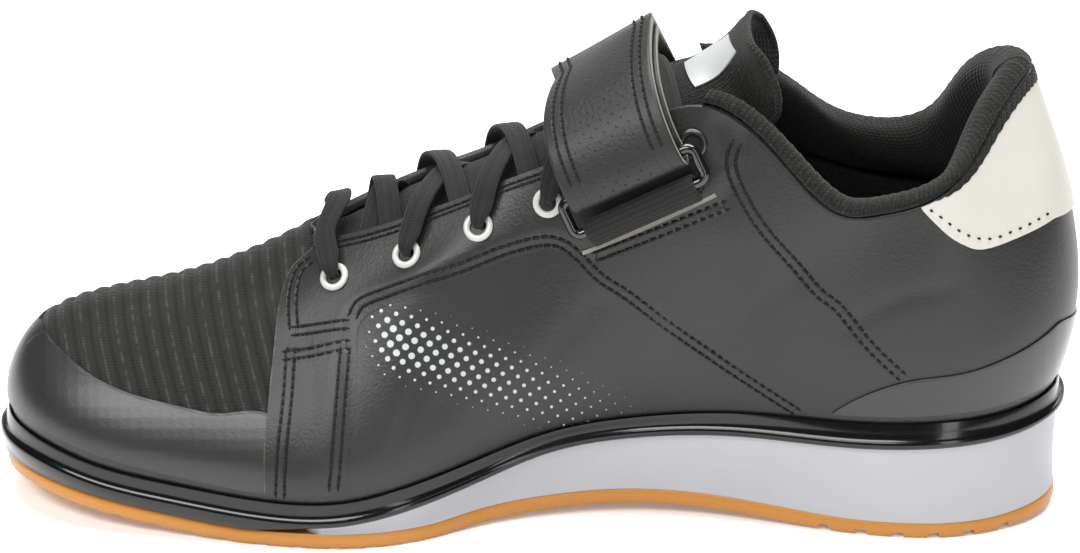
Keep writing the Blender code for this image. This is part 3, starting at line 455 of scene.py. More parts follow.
CORNER = {hand: corner(hand) for hand in (-1, 1)}
THROAT = {
    hand: np.linspace(0.5 + hand * 3 / CAD_COLUMNS, CORNER[hand], 400) for hand in (-1, 1)
}


def edge_share(hand, x):
    """The share of the outline whose throat edge stands at x, on one side."""
    edge = sample(THROAT[hand], np.full(400, TOP_ROW))[0][:, 0]
    return THROAT[hand][np.argmin(np.abs(edge - x))]


# The photo's view
_turn, _rise = radians(CAMERA_TURN), radians(CAMERA_RISE)
BACK = np.array([sin(_turn) * cos(_rise), -cos(_turn) * cos(_rise), sin(_rise)])
RIGHT = np.array([cos(_turn), sin(_turn), 0.0])
ABOVE = np.cross(BACK, RIGHT)


def view(points):
    """Pixels of the photo where points show."""
    q = np.asarray(points, float) - CAMERA_TARGET
    depth = CAMERA_AWAY - q @ BACK
    right, down = CAMERA_FOCAL * (q @ RIGHT) / depth, CAMERA_FOCAL * (q @ ABOVE) / depth
    return np.stack([PHOTO_MIDDLE[0] + right, PHOTO_MIDDLE[1] - down], axis=-1)


def grid_faces(columns, rows, around):
    """Quads of a grid whose points run row by row inside each column."""
    c = np.arange(columns if around else columns - 1)
    r = np.arange(rows - 1)
    a = (c[:, None] * rows + r[None]).ravel()
    b = (((c + 1) % columns)[:, None] * rows + r[None]).ravel()
    return np.column_stack([a, b, b + 1, a + 1])


HALF = FINE // 2
_medial = SKIN[:HALF + 1]
SKIN_TREE = BVHTree.FromPolygons(
    [tuple(p) for p in _medial.reshape(-1, 3)], [tuple(f) for f in grid_faces(HALF + 1, len(ROWS), False)]
)
WHOLE_TREE = BVHTree.FromPolygons(
    [tuple(p) for p in SKIN.reshape(-1, 3)], [tuple(f) for f in grid_faces(FINE, len(ROWS), True)]
)


def on_skin(pixels):
    """Points of the medial face behind pixels of the photo."""
    eye = np.array(CAMERA_TARGET) + BACK * CAMERA_AWAY
    found = []
    for px, py in pixels:
        right, down = (px - PHOTO_MIDDLE[0]) / CAMERA_FOCAL, (py - PHOTO_MIDDLE[1]) / CAMERA_FOCAL
        ray = unit(RIGHT * right - ABOVE * down - BACK)
        hit = SKIN_TREE.ray_cast(Vector(eye), Vector(ray))[0]
        if hit is None:
            hit = SKIN_TREE.find_nearest(Vector(eye + ray * CAMERA_AWAY))[0]
        found.append(hit)
    return np.array(found)


def smooth(x):
    x = np.clip(x, 0, 1)
    return x * x * (3 - 2 * x)


def refined(pixels, step=6.0):
    """The pixels of a line with more between them, on a smooth curve."""
    pixels = np.asarray(pixels, float)
    count = int(np.linalg.norm(np.diff(pixels, axis=0), axis=1).sum() / step) + 2
    if len(pixels) < 3:
        return pixels[0] + (pixels[-1] - pixels[0]) * np.linspace(0, 1, count)[:, None]
    return even(pixels, count)


def distance(points, line):
    """The distance from points to a line of points in space."""
    points = points.reshape(-1, 3)
    best = np.full(len(points), 1e9)
    for a, b in zip(line[:-1], line[1:]):
        ab = b - a
        t = np.clip((points - a) @ ab / max(ab @ ab, 1e-9), 0, 1)
        best = np.minimum(best, np.sum((points - a - t[:, None] * ab) ** 2, axis=1))
    return np.sqrt(best)


def inside(pixels, polygon):
    """Which pixels lie inside a closed polygon."""
    x, y = pixels.reshape(-1, 2).T
    found = np.zeros(len(x), bool)
    polygon = np.asarray(polygon, float)
    for (x0, y0), (x1, y1) in zip(polygon, np.roll(polygon, -1, axis=0)):
        crosses = (y0 > y) != (y1 > y)
        with np.errstate(divide="ignore", invalid="ignore"):
            found ^= crosses & (x < (x1 - x0) * (y - y0) / (y1 - y0) + x0)
    return found


def mirrored(half):
    """A field over the medial half of the face, given to the lateral half as well."""
    shape = (HALF + 1, len(ROWS)) + half.shape[1:]
    half = half.reshape(shape)
    return np.concatenate([half, half[1:-1][::-1]], axis=0)


HALF_VIEW = view(_medial.reshape(-1, 3))
FLAT = mirrored(HALF_VIEW)


def region(edge, closing, back=None, above=1.0):
    """Signed distance in millimetres to an edge line: positive inside the edge and its closing pixels.

    The photo hides the back of the heel: there the edge runs on to a height, with its inside above or below.
    """
    line = on_skin(refined(edge))
    away = distance(_medial, line)
    sign = np.where(inside(HALF_VIEW, list(refined(edge)) + list(closing)), 1.0, -1.0)
    field = away * sign
    if back is not None:
        x, y, z = _medial.reshape(-1, 3).T
        _, last_y, last_z = line[-1]
        share = smooth((y - last_y) / (-last_y))
        behind = (x > 90.0) & (y > last_y)
        field = np.where(behind, (z - (last_z + (back - last_z) * share)) * above, field)
    return mirrored(field)


GUARD = region(GUARD_TOP + ((272, 560),), ((-60, 560),))
STAY = region(STAY_BACK[::-1] + STAY_FRONT, ((330, 100), (560, -100), (745, -100)))
STAY_SOFT = mirrored(distance(_medial, on_skin(refined(STAY_BACK))))
COUNTER = region(COUNTER_TOP, ((1120, 280), (1120, 560), (780, 560)), back=57.0, above=-1.0)
PATCH = region(PATCH_EDGE, ((1120, 170), (1120, 20), (915, 20)), back=89.0)
SEAM_LINES = {name: on_skin(refined(line)) for name, line in SEAMS.items()}


def seam_distance(line):
    """The distance from the medial face to a seam, with nothing beyond its ends."""
    points = _medial.reshape(-1, 3)
    away = distance(points, line)
    for end, inner in ((line[0], line[1]), (line[-1], line[-2])):
        beyond = ((points - end) @ (inner - end) < 0) & (np.linalg.norm(points - end, axis=1) < away + 1e-6)
        away[beyond] = FAR
    return away


SEAM_AWAY = mirrored(np.min([seam_distance(line) for line in SEAM_LINES.values()], axis=0))
# The stitched rows along the throat, 3.4 mm below its edge and as far as the collar
_reach = np.linalg.norm(SKIN - SKIN[:, -1:], axis=2)
_shares = np.arange(FINE) / FINE
_first, _last = [edge_share(hand, x_at(BORDER_ENDS)) for hand in (-1, 1)]
_in_throat = ((_shares > _first) & (_shares < _last))[:, None] & (STAY > -1.0)
EDGE_SEAM = 3.4
EDGE_SEAM_HALF = 0.95
_border = np.abs(_reach - EDGE_SEAM) + SEAM_HALF - EDGE_SEAM_HALF
SEAM_AWAY = np.where(_in_throat, np.minimum(SEAM_AWAY, _border), SEAM_AWAY)

# Creases and swellings of the face: height and half width in millimetres, and a line in shares of LENGTH
# and TOP_HEIGHT
CREASES = (
    (-0.35, 3.5, ((0.700, 0.20), (0.690, 0.30), (0.700, 0.42))),
    (0.25, 5.0, ((0.655, 0.18), (0.650, 0.30), (0.655, 0.40))),
    (-0.30, 3.0, ((0.610, 0.20), (0.600, 0.32), (0.575, 0.44))),
    (-0.30, 4.0, ((0.500, 0.30), (0.470, 0.42), (0.430, 0.52))),
    (0.25, 6.0, ((0.440, 0.28), (0.400, 0.40), (0.370, 0.50))),
    (-0.35, 3.5, ((0.330, 0.42), (0.290, 0.52), (0.250, 0.60))),
    (-0.30, 3.0, ((0.210, 0.48), (0.170, 0.55), (0.120, 0.58))),
    (0.20, 7.0, ((0.120, 0.35), (0.080, 0.42), (0.030, 0.48))),
)


def relief():
    """Soft troughs and ridges over the whole face, in millimetres."""
    x, z = SKIN[..., 0].ravel(), SKIN[..., 2].ravel()
    flat = np.column_stack([x, np.zeros_like(x), z])
    total = np.zeros(len(x))
    for height, half, line in CREASES:
        points = np.array([(x_at(a), 0.0, u * TOP_HEIGHT) for a, u in line])
        total += height * np.exp(-(distance(flat, even(points, 12)) / half) ** 2)
    fade = np.clip(np.minimum(np.abs(ROWS - 1.0), TOP_ROW - ROWS) / 0.8, 0, 1) * (ROWS > 1.0)
    return total.reshape(SKIN.shape[:2]) * fade


SKIN = SKIN + NORMAL * relief()[..., None]


# How far the dressed surface stands off the face: guard, counter and patch, then the eyestay
STAY_LIFT = GAP - 0.3 + (OVERLAY + 0.3) * smooth(STAY_SOFT / 7.0)
FILM_LIFT = GAP + 0.55
PATCH_LIFT = GAP + 0.5
SURFACE_LIFT = np.where(PATCH > 0, PATCH_LIFT, 0.0)
SURFACE_LIFT = np.where((GUARD > 0) | (COUNTER > 0), FILM_LIFT, SURFACE_LIFT)
SURFACE_LIFT = np.where(STAY > 0, STAY_LIFT, SURFACE_LIFT)


def srgb(code):
    """A linear colour from a hex value."""
    parts = [int(code[i:i + 2], 16) / 255 for i in (1, 3, 5)]
    return tuple(p / 12.92 if p <= 0.04045 else ((p + 0.055) / 1.055) ** 2.4 for p in parts)


def metres(points):
    return (np.asarray(points, float) + SHIFT) / 1000


def join(tree, value, socket):
    """Sets a socket to a value, or links it to another socket or to a node's first live output."""
    if isinstance(value, bpy.types.Node):
        value = next(output for output in value.outputs if output.enabled)
    if isinstance(value, bpy.types.NodeSocket):
        tree.links.new(value, socket)
    else:
        socket.default_value = value


def add(tree, kind, *values, clamp=False, **settings):
    """Adds a node. MIX mixes colours and any other kind in capitals is an arithmetic step.

    Values go into the live inputs in order, and a dictionary's into inputs by name. Settings are properties.
    """
    if kind == "MIX":
        kind, settings = "ShaderNodeMix", {"data_type": "RGBA"}
    elif kind.isupper():
        kind, settings = "ShaderNodeMath", {"operation": kind, "use_clamp": clamp}
    made = tree.nodes.new(kind)
    for name, value in settings.items():
        setattr(made, name, value)
    live = [socket for socket in made.inputs if socket.enabled]
    for number, value in enumerate(values):
        pairs = value.items() if isinstance(value, dict) else ()
        for name, inner in pairs:
            join(tree, inner, made.inputs[name])
        if not isinstance(value, dict):
            join(tree, value, live[number])
    return made


def mesh_piece(name, points, faces, paints, face_paint=None, flat=(), sharp=None):
    """A dressed piece: points in millimetres, faces as lists of corners, smooth unless said."""
    name = name + "_dressed" if name in bpy.data.objects else name
    mesh = bpy.data.meshes.new(name)
    mesh.from_pydata([tuple(p) for p in metres(points)], [], [tuple(int(i) for i in f) for f in faces])
    made = bpy.data.objects.new(name, mesh)
    bpy.context.scene.collection.objects.link(made)
    for paint in paints:
        mesh.materials.append(paint)
    if face_paint is not None:
        mesh.polygons.foreach_set("material_index", np.asarray(face_paint, np.int32))
    mesh.polygons.foreach_set("use_smooth", np.ones(len(mesh.polygons), bool))
    if sharp:
        mesh.set_sharp_from_angle(angle=radians(sharp))
    fix_out(made)
    return made


def fix_out(made):
    """Turns the faces outwards by the sign of the volume."""
    mesh = made.data
    mesh.calc_loop_triangles()
    at = np.zeros(len(mesh.vertices) * 3)
    mesh.vertices.foreach_get("co", at)
    at = at.reshape(-1, 3)
    tri = np.zeros(len(mesh.loop_triangles) * 3, np.int32)
    mesh.loop_triangles.foreach_get("vertices", tri)
    if np.linalg.det(at[tri.reshape(-1, 3)]).sum() < 0:
        mesh.flip_normals()
    mesh.update()


def give(made, name, values):
    """Stores a number for each vertex."""
    layer = made.data.attributes.new(name, "FLOAT", "POINT")
    layer.data.foreach_set("value", np.asarray(values, np.float32).ravel())


def give_uv(made, values, name="UVMap"):
    """A UV map from a pair of numbers for each vertex."""
    layer = made.data.uv_layers.new(name=name)
    corner_of = np.zeros(len(made.data.loops), np.int32)
    made.data.loops.foreach_get("vertex_index", corner_of)
    layer.data.foreach_set("uv", np.asarray(values, np.float32).reshape(-1, 2)[corner_of].ravel())


def settle(made, slot, *nodes):
    """Rides on the shoe and stands for CAD nodes, whose parts it hides. The slot is not used."""
    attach(made, "root")
    if nodes:
        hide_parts(*nodes)
    return made


def ring_faces(deep, count, first=0, closed=False):
    """Quads between rings of points that run ring by ring, and back to the first ring where closed."""
    r = np.arange(deep if closed else deep - 1)[:, None]
    i = np.arange(count)[None]
    s, j = (r + 1) % deep, (i + 1) % count
    quads = np.stack([r * count + i, r * count + j, s * count + j, s * count + i], axis=-1)
    return first + quads.reshape(-1, 4)


def sheet_faces(rows, columns):
    """Faces of a closed sheet: an upper grid, a lower one of as many points, and the edge between them."""
    count = rows * columns
    faces = []
    for i in range(rows - 1):
        for j in range(columns - 1):
            a = i * columns + j
            quad = [a, a + 1, a + columns + 1, a + columns]
            faces += [quad, [q + count for q in quad[::-1]]]
    rim = list(range(columns)) + [i * columns + columns - 1 for i in range(1, rows)]
    rim += [(rows - 1) * columns + j for j in range(columns - 2, -1, -1)]
    rim += [i * columns for i in range(rows - 2, 0, -1)]
    return faces + [[b, a, a + count, b + count] for a, b in zip(rim, rim[1:] + rim[:1])]


def hoop_piece(name, rings, paints, **more):
    """A piece from closed rings where the last ring joins the first. Points run ring by ring."""
    faces = ring_faces(len(rings), len(rings[0]), closed=True)
    return mesh_piece(name, np.vstack(rings), faces, paints, **more)


def cap(first, count, back):
    """A flat cap over a ring, in strips from side to side."""
    half = count // 2
    faces = []
    for i in range(half):
        a, b, c, d = i, i + 1, (count - i - 1) % count, (count - i) % count
        quad = list(dict.fromkeys((first + a, first + b, first + c, first + d)))
        faces.append(quad[::-1] if back else quad)
    return faces


def stack_piece(name, rings, paints, **more):
    """A piece from rings with a cap at both ends."""
    deep, count = len(rings), len(rings[0])
    faces = ring_faces(deep, count).tolist() + cap(0, count, True) + cap((deep - 1) * count, count, False)
    return mesh_piece(name, np.vstack(rings), faces, paints, **more)


def loft_faces(deep, count, first=0):
    """Faces of closed sections in a row, with one face over each end."""
    ends = [list(range(count))[::-1], list(range((deep - 1) * count, deep * count))]
    return ring_faces(deep, count, first).tolist() + [[first + i for i in end] for end in ends]


def loft_piece(name, sections, paints, **more):
    """A piece from closed sections in a row. Points run section by section."""
    return mesh_piece(name, np.vstack(sections), loft_faces(len(sections), len(sections[0])), paints, **more)


def plate_piece(name, field, lift, low, paints, rows=(1.12, TOP_ROW), edge=None):
    """A closed plate over the part of the face where a field is positive, cut along its zero line."""
    keep_r = np.where((ROWS >= rows[0]) & (ROWS <= rows[1] + 1e-6))[0]
    r0, r1 = keep_r[0], keep_r[-1]
    points, made_at, faces = [], {}, []

    def vertex(key, place):
        if key not in made_at:
            made_at[key] = len(points)
            points.append(place)
        return made_at[key]

    hot = field > 0
    for c in range(FINE):
        d = (c + 1) % FINE
        for r in range(r0, r1):
            ring = ((c, r), (d, r), (d, r + 1), (c, r + 1))
            signs = [hot[p] for p in ring]
            if not any(signs):
                continue
            if all(signs):
                faces.append([vertex(p, (p, p, 0.0)) for p in ring])
                continue
            polygon = []
            for p, q in zip(ring, ring[1:] + ring[:1]):
                if hot[p]:
                    polygon.append(vertex(p, (p, p, 0.0)))
                if hot[p] != hot[q]:
                    a, b = (p, q) if p < q else (q, p)
                    t = field[a] / (field[a] - field[b])
                    polygon.append(vertex((a, b), (a, b, float(np.clip(t, 0.02, 0.98)))))
            if len(polygon) >= 3:
                faces.append(polygon)
    index = np.array([(a[0], a[1], b[0], b[1]) for a, b, _ in points])
    share = np.array([t for _, _, t in points])[:, None]

    def at(grid):
        first, second = grid[index[:, 0], index[:, 1]], grid[index[:, 2], index[:, 3]]
        flat = first.ndim == 1
        if flat:
            first, second = first[:, None], second[:, None]
        between = first * (1 - share) + second * share
        return between[:, 0] if flat else between

    place, normal, high = at(SKIN), unit(at(NORMAL)), at(lift)
    count = len(points)
    both = np.vstack([place + normal * high[:, None], place + normal * low])
    used = {}
    for f in faces:
        for i, j in zip(f, f[1:] + f[:1]):
            used[(i, j)] = used.get((i, j), 0) + 1
    skirt = [[j, i, i + count, j + count] for (i, j) in used if (j, i) not in used]
    bottom = [[i + count for i in f[::-1]] for f in faces]
    made = mesh_piece(name, both, faces + skirt + bottom, paints, sharp=50)
    for label, grid in (("seam", SEAM_AWAY), ("edge", np.abs(field) if edge is None else edge)):
        values = at(grid)
        give(made, label, np.concatenate([values, values]))
    flat = at(FLAT) / PIXELS_PER_METRE
    give_uv(made, np.vstack([flat, flat]))
    return made


def length(name, about, default):
    return FloatProperty(name=name, description=about, default=default, unit="LENGTH")


def shade(name, about, code):
    return FloatVectorProperty(name=name, description=about, subtype="COLOR", default=srgb(code))


class ShoeSizes(bpy.types.PropertyGroup):
    """Sizes of the dressing that a user may change."""

    rib_pitch: length("Rib pitch", "From one vamp rib to the next", 0.0051)
    rib_height: length("Rib height", "How far a vamp rib stands up", 0.0007)
    stitch_pitch: length("Stitch pitch", "From one stitch to the next", 0.0024)
    grain: length("Leather grain", "Width of one grain cell", 0.0008)
    hole_pitch: length("Strap hole pitch", "From one strap hole to the next", 0.0026)


class ShoeColours(bpy.types.PropertyGroup):
    """Colours of the materials."""

    leather: shade("Leather", "Quarter and strap", "#171615")
    textile: shade("Textile", "Vamp, tongue and collar", "#161714")
    film: shade("Film", "Toe guard and heel counter", "#1c1c1b")
    rim: shade("Rim", "Glossy rim", "#040405")
    midsole: shade("Midsole", "Wedge", "#a6a6ab")
    gum: shade("Gum", "Outsole", "#b5782b")
    patch: shade("Heel patch", "White patch", "#b0ada6")
    eyelet: shade("Eyelets", "Lacquered rings", "#b4b4b0")
    lace: shade("Laces", "Flat laces and webbing", "#0e0e0d")
    raw_edge: shade("Raw edge", "Cut edges", "#827d75")
    print_dots: shade("Print", "Light dots", "#a8aeae")


def sizes():
    return bpy.context.scene.shoe_sizes


def tone(base, factor=1.0):
    """A colour made darker or lighter, with full alpha."""
    return (*(c * factor for c in base[:3]), 1.0)


def colour(name):
    """One of the shoe's colours, or the colour of a hex value, with full alpha."""
    return tone(srgb(name) if name.startswith("#") else getattr(bpy.context.scene.shoe_colours, name))


def new_paint(name, roughness, **sockets):
    """A material with one shader, and the function that adds its nodes. Underscores stand for spaces."""
    made = bpy.data.materials.new(name)
    made.use_nodes = True
    inputs = made.node_tree.nodes["Principled BSDF"].inputs
    for key, value in {"Roughness": roughness, **sockets}.items():
        inputs[key.replace("_", " ")].default_value = value
    return made, partial(add, made.node_tree)


def cover(made, tint, height, deep, rough=None):
    """Gives a material its colour, its bump from heights of 0 to 1 by a depth in metres, and a roughness."""
    tree = made.node_tree
    inputs = tree.nodes["Principled BSDF"].inputs
    bump = add(tree, "ShaderNodeBump", {"Height": height, "Strength": 1.0, "Distance": deep})
    for name, value in (("Base Color", tint), ("Normal", bump), ("Roughness", rough)):
        if value is not None:
            join(tree, value, inputs[name])
    return made


def band_near(node, value, at, half):
    """1 where a value is at a number, falling to 0 within half on both sides."""
    off = node("ABSOLUTE", node("SUBTRACT", value, at))
    return node("SUBTRACT", 1.0, node("DIVIDE", off, half), clamp=True)


def round_cells(node, pitch, turn=0):
    """The distance from the nearest point of a square grid on the UV map, in shares of its pitch."""
    flat = node("ShaderNodeUVMap")
    if turn:
        flat = node("ShaderNodeMapping", {"Vector": flat, "Rotation": (0, 0, radians(turn))})
    values = {"Vector": flat, "Scale": 1 / pitch, "Randomness": 0.0}
    return node("ShaderNodeTexVoronoi", values, voronoi_dimensions="2D")


def stitched_leather(name, base, roughness, dotted=False):
    """Embossed leather: fine pebbles, a satin coat, pressed seam rows with painted shade in them, and a pale
    line at a cut edge.
    """
    made, node = new_paint(name, roughness, Coat_Weight=0.12, Coat_Roughness=0.32, Specular_IOR_Level=0.40)
    place = node("ShaderNodeTexCoord").outputs["Object"]
    grain = node("ShaderNodeTexVoronoi", {"Vector": place, "Scale": 1 / sizes().grain}, feature="SMOOTH_F1")
    pores = node("ShaderNodeTexNoise", {"Vector": place, "Scale": 2600.0, "Detail": 2.0})
    cloud = node("ShaderNodeTexNoise", {"Vector": place, "Scale": 28.0, "Detail": 3.0})
    height = node("MULTIPLY_ADD", grain, 0.5, node("MULTIPLY", pores, 0.35))
    tint = node("MIX", node("MULTIPLY", cloud, 0.5), base, tone(base, 1.5))
    row = band_near(node, node("ShaderNodeAttribute", attribute_name="seam").outputs["Fac"], SEAM_HALF, 0.55)
    height = node("MULTIPLY_ADD", row, -1.3, height)
    # Painted shade: the pressed seam rows are darkened in the colour as well as in the bump
    tint = node("MIX", node("MULTIPLY", row, 0.25), tint, tone(base, 0.35))
    edge = node("ShaderNodeAttribute", attribute_name="edge").outputs["Fac"]
    raw = node("SUBTRACT", 1.0, node("DIVIDE", edge, 0.45), clamp=True)
    tint = node("MIX", node("MULTIPLY", raw, 0.35), tint, colour("raw_edge"))
    if dotted:
        # The dots are widest at the front of a slanted band and fade out behind
        dots = round_cells(node, 0.0031, 34)
        u, v, _ = node("ShaderNodeSeparateXYZ", node("ShaderNodeUVMap")).outputs
        widest = node("ShaderNodeMapRange", u, 0.108, 0.196, 0.37, 0.0)
        start = node("ShaderNodeMapRange", u, 0.1020, 0.1100, 0.0, 1.0)
        lean = node("MULTIPLY_ADD", u, 0.36, node("MULTIPLY", v, -1.0))
        low = node("ShaderNodeMapRange", lean, -0.0700, -0.0600, 0.0, 1.0)
        high = node("ShaderNodeMapRange", lean, -0.0420, -0.0520, 0.0, 1.0)
        radius = node("MULTIPLY", node("MULTIPLY", widest, start), node("MULTIPLY", low, high))
        spot = node("MULTIPLY", node("SUBTRACT", radius, dots), 14.0, clamp=True)
        tint = node("MIX", spot, tint, colour("print_dots"))
    rough = node("ShaderNodeMapRange", cloud, 0.3, 0.7, roughness - 0.05, roughness + 0.07)
    return cover(made, tint, height, 0.00016, rough)


def satin_film(name, base, roughness):
    """Moulded polyurethane film: a smooth satin skin with faint round dimples."""
    made, node = new_paint(name, roughness, Coat_Weight=0.2, Coat_Roughness=0.3, Specular_IOR_Level=0.45)
    place = node("ShaderNodeTexCoord").outputs["Object"]
    bowl = node("MULTIPLY", round_cells(node, 0.0030), 1.6, clamp=True)
    haze = node("ShaderNodeTexNoise", {"Vector": place, "Scale": 1900.0, "Detail": 2.0})
    edge = node("ShaderNodeAttribute", attribute_name="edge").outputs["Fac"]
    step = node("DIVIDE", edge, 0.8, clamp=True)
    height = node("ADD", node("MULTIPLY_ADD", haze, 0.25, node("MULTIPLY", bowl, 0.22)), step)
    cloud = node("ShaderNodeTexNoise", {"Vector": place, "Scale": 60.0, "Detail": 3.0})
    tint = node("MIX", node("MULTIPLY", cloud, 0.4), base, tone(base, 1.5))
    return cover(made, tint, height, 0.00018)


def knit_height(node, u, v, column, row, slant):
    """The relief of knitted columns of small slanting stitches. Lengths are in the units of u and v."""
    off = node("ABSOLUTE", node("SUBTRACT", node("FRACT", node("DIVIDE", u, column)), 0.5))
    turn = node("MULTIPLY_ADD", off, slant, node("DIVIDE", v, row))
    wave = node("SINE", node("MULTIPLY", turn, 2 * pi))
    round_off = node("SUBTRACT", 1.0, node("POWER", node("MULTIPLY", off, 2.0), 3.0))
    return node("MULTIPLY", node("MULTIPLY_ADD", wave, 0.3, 0.7), round_off)


def knit_cloth(name, base, column, row, deep, lighter=2.2, slant=0.8, holes=0.0):
    """Knitted polyester: matt columns of stitches, with a painted highlight on their crests and painted shade
    between them.
    """
    made, node = new_paint(name, 0.9, Sheen_Weight=0.08, Sheen_Roughness=0.5, Specular_IOR_Level=0.2)
    u, v, _ = node("ShaderNodeSeparateXYZ", node("ShaderNodeUVMap")).outputs
    height = knit_height(node, u, v, column, row, slant)
    place = node("ShaderNodeTexCoord").outputs["Object"]
    highlight_patches = node("ShaderNodeTexNoise", {"Vector": place, "Scale": 700.0, "Detail": 2.0})
    light = node("MULTIPLY", height, node("MULTIPLY", node("SUBTRACT", highlight_patches, 0.2), 2.0, clamp=True))
    # Painted highlight on the stitch crests, made patchy by noise, and painted shade at half the colour
    # between them
    tint = node("MIX", light, tone(base, 0.5), tone(base, lighter))
    if holes:
        hole = node("MULTIPLY", node("SUBTRACT", 0.18, round_cells(node, holes, 45)), 10.0, clamp=True)
        height = node("MULTIPLY_ADD", hole, -1.6, height)
        # Painted shade: the holes are near black
        tint = node("MIX", hole, tint, colour("#050505"))
    return cover(made, tint, height, deep)


def ribbed_vamp(name, base):
    """Engineered knit: raised cords with a painted highlight line on each crest, painted shade in the
    valleys, and near-black painted shade in the open dashes there.
    """
    made, node = new_paint(name, 0.85, Sheen_Weight=0.1, Sheen_Roughness=0.5, Specular_IOR_Level=0.25)
    phase = node("ShaderNodeAttribute", attribute_name="phase").outputs["Fac"]
    across = node("ShaderNodeSeparateXYZ", node("ShaderNodeUVMap")).outputs[0]
    turn = node("FRACT", node("DIVIDE", phase, sizes().rib_pitch * 1000))
    off = node("ABSOLUTE", node("SUBTRACT", turn, 0.5))
    place = node("ShaderNodeTexCoord").outputs["Object"]
    patchy = node("ShaderNodeTexNoise", {"Vector": place, "Scale": 420.0, "Detail": 2.0})
    # Noise that makes the painted crest highlight and the dark dashes patchy
    highlight_and_hole_patches = node("MULTIPLY", node("SUBTRACT", patchy, 0.36), 3.0, clamp=True)
    crest = node("SUBTRACT", 1.0, node("DIVIDE", off, 0.12), clamp=True)
    crest = node("MULTIPLY", crest, node("MULTIPLY", highlight_and_hole_patches, 0.42))
    valley = node("DIVIDE", node("SUBTRACT", off, 0.33), 0.10, clamp=True)
    dash = node("ABSOLUTE", node("SUBTRACT", node("FRACT", node("DIVIDE", across, 0.0031)), 0.5))
    hole = node("MULTIPLY", node("MULTIPLY", node("SUBTRACT", 0.17, dash), 10.0, clamp=True), valley)
    hole = node("MULTIPLY", hole, node("MULTIPLY", highlight_and_hole_patches, 0.6))
    threads = node("SINE", node("MULTIPLY", phase, 2 * pi / 0.62))
    twist = node("SINE", node("MULTIPLY", across, 2 * pi / 0.0009))
    height = node("MULTIPLY_ADD", threads, 0.18, node("MULTIPLY", twist, 0.12))
    height = node("MULTIPLY_ADD", hole, -0.8, height)
    fuzz = node("MULTIPLY_ADD", threads, 0.08, node("MULTIPLY", patchy, 0.35))
    # Painted highlight: a pale line on each cord's crest
    tint = node("MIX", crest, base, colour("#5a5c55"))
    tint = node("MIX", fuzz, tint, tone(base, 2.0))
    # Painted shade in the valleys between the cords
    tint = node("MIX", node("MULTIPLY", valley, 0.7), tint, tone(base, 0.35))
    # Painted shade: the open dashes are near black
    tint = node("MIX", hole, tint, colour("#060606"))
    return cover(made, tint, height, 0.00022)


def smooth_moulded(name, base, roughness, deep, size, coat=0.0, speck=None, gloss=0.5):
    """A moulded plastic or rubber: its own sheen, a faint moulded skin, and a little uneven tone."""
    made, node = new_paint(name, roughness, Coat_Weight=coat, Coat_Roughness=0.08, Specular_IOR_Level=gloss)
    place = node("ShaderNodeTexCoord").outputs["Object"]
    fine = node("ShaderNodeTexNoise", {"Vector": place, "Scale": 1 / size, "Detail": 3.0})
    cloud = node("ShaderNodeTexNoise", {"Vector": place, "Scale": 22.0, "Detail": 3.0})
    tint = node("MIX", node("MULTIPLY", cloud, 0.6), base, tone(base, 0.82))
    if speck:
        dark = node("MULTIPLY", node("SUBTRACT", fine, 0.62), 8.0, clamp=True)
        tint = node("MIX", node("MULTIPLY", dark, 0.25), tint, colour(speck))
    return cover(made, tint, fine, deep)


def lit_paper(name, base, glow):
    """White studio paper lit from behind, so the floor stays white with a faint shadow."""
    return new_paint(name, 0.9, Base_Color=base, Emission_Color=base, Emission_Strength=glow)[0]


def strap_leather(name, base):
    """Strap leather: the same microfibre, with a field of punched holes between its stitched borders, and
    painted shade in the holes and the stitch rows.
    """
    made, node = new_paint(name, 0.50, Coat_Weight=0.08, Coat_Roughness=0.35, Specular_IOR_Level=0.40)
    place = node("ShaderNodeTexCoord").outputs["Object"]
    grain = node("ShaderNodeTexVoronoi", {"Vector": place, "Scale": 1 / sizes().grain}, feature="SMOOTH_F1")
    middle = node("ABSOLUTE", node("ShaderNodeSeparateXYZ", node("ShaderNodeUVMap")).outputs[1])
    cells = round_cells(node, sizes().hole_pitch, 45)
    hole = node("MULTIPLY", node("SUBTRACT", 0.13, cells), 12.0, clamp=True)
    hole = node("MULTIPLY", hole, node("LESS_THAN", middle, 0.0090))
    row = node("MAXIMUM", *[band_near(node, middle, at / 1000, 0.0005) for at in STRAP_ROWS[::-1]])
    height = node("MULTIPLY_ADD", row, -1.0, node("MULTIPLY", grain, 0.6))
    height = node("MULTIPLY_ADD", hole, -1.8, height)
    cloud = node("ShaderNodeTexNoise", {"Vector": place, "Scale": 40.0, "Detail": 3.0})
    tint = node("MIX", node("MULTIPLY", cloud, 0.5), base, tone(base, 1.5))
    # Painted shade in the pressed stitch rows
    tint = node("MIX", node("MULTIPLY", row, 0.4), tint, tone(base, 0.35))
    # Painted shade: the punched holes are near black
    tint = node("MIX", hole, tint, colour("#050505"))
    return cover(made, tint, height, 0.00016)


def woven_band(name, base, rib, pick, deep, ribs_over=1, lighter=2.0):
    """Woven polyester tape: ribs over one UV axis, crossed by fine picks. UV is in metres."""
    made, node = new_paint(name, 0.8, Sheen_Weight=0.1, Sheen_Roughness=0.4, Specular_IOR_Level=0.3)
    flat = node("ShaderNodeSeparateXYZ", node("ShaderNodeUVMap")).outputs
    ribs = node("SINE", node("MULTIPLY", flat[ribs_over], 2 * pi / rib))
    shift = node("MULTIPLY", node("GREATER_THAN", ribs, 0.0), 0.5)
    turn = node("ADD", node("DIVIDE", flat[1 - ribs_over], pick), shift)
    picks = node("SINE", node("MULTIPLY", turn, 2 * pi))
    height = node("ADD", node("MULTIPLY_ADD", ribs, 0.3, 0.5), node("MULTIPLY", picks, 0.2))
    # Painted highlight on the raised threads and painted shade in the hollows: the colour follows the height
    return cover(made, node("MIX", height, tone(base, 0.5), tone(base, lighter)), height, deep)


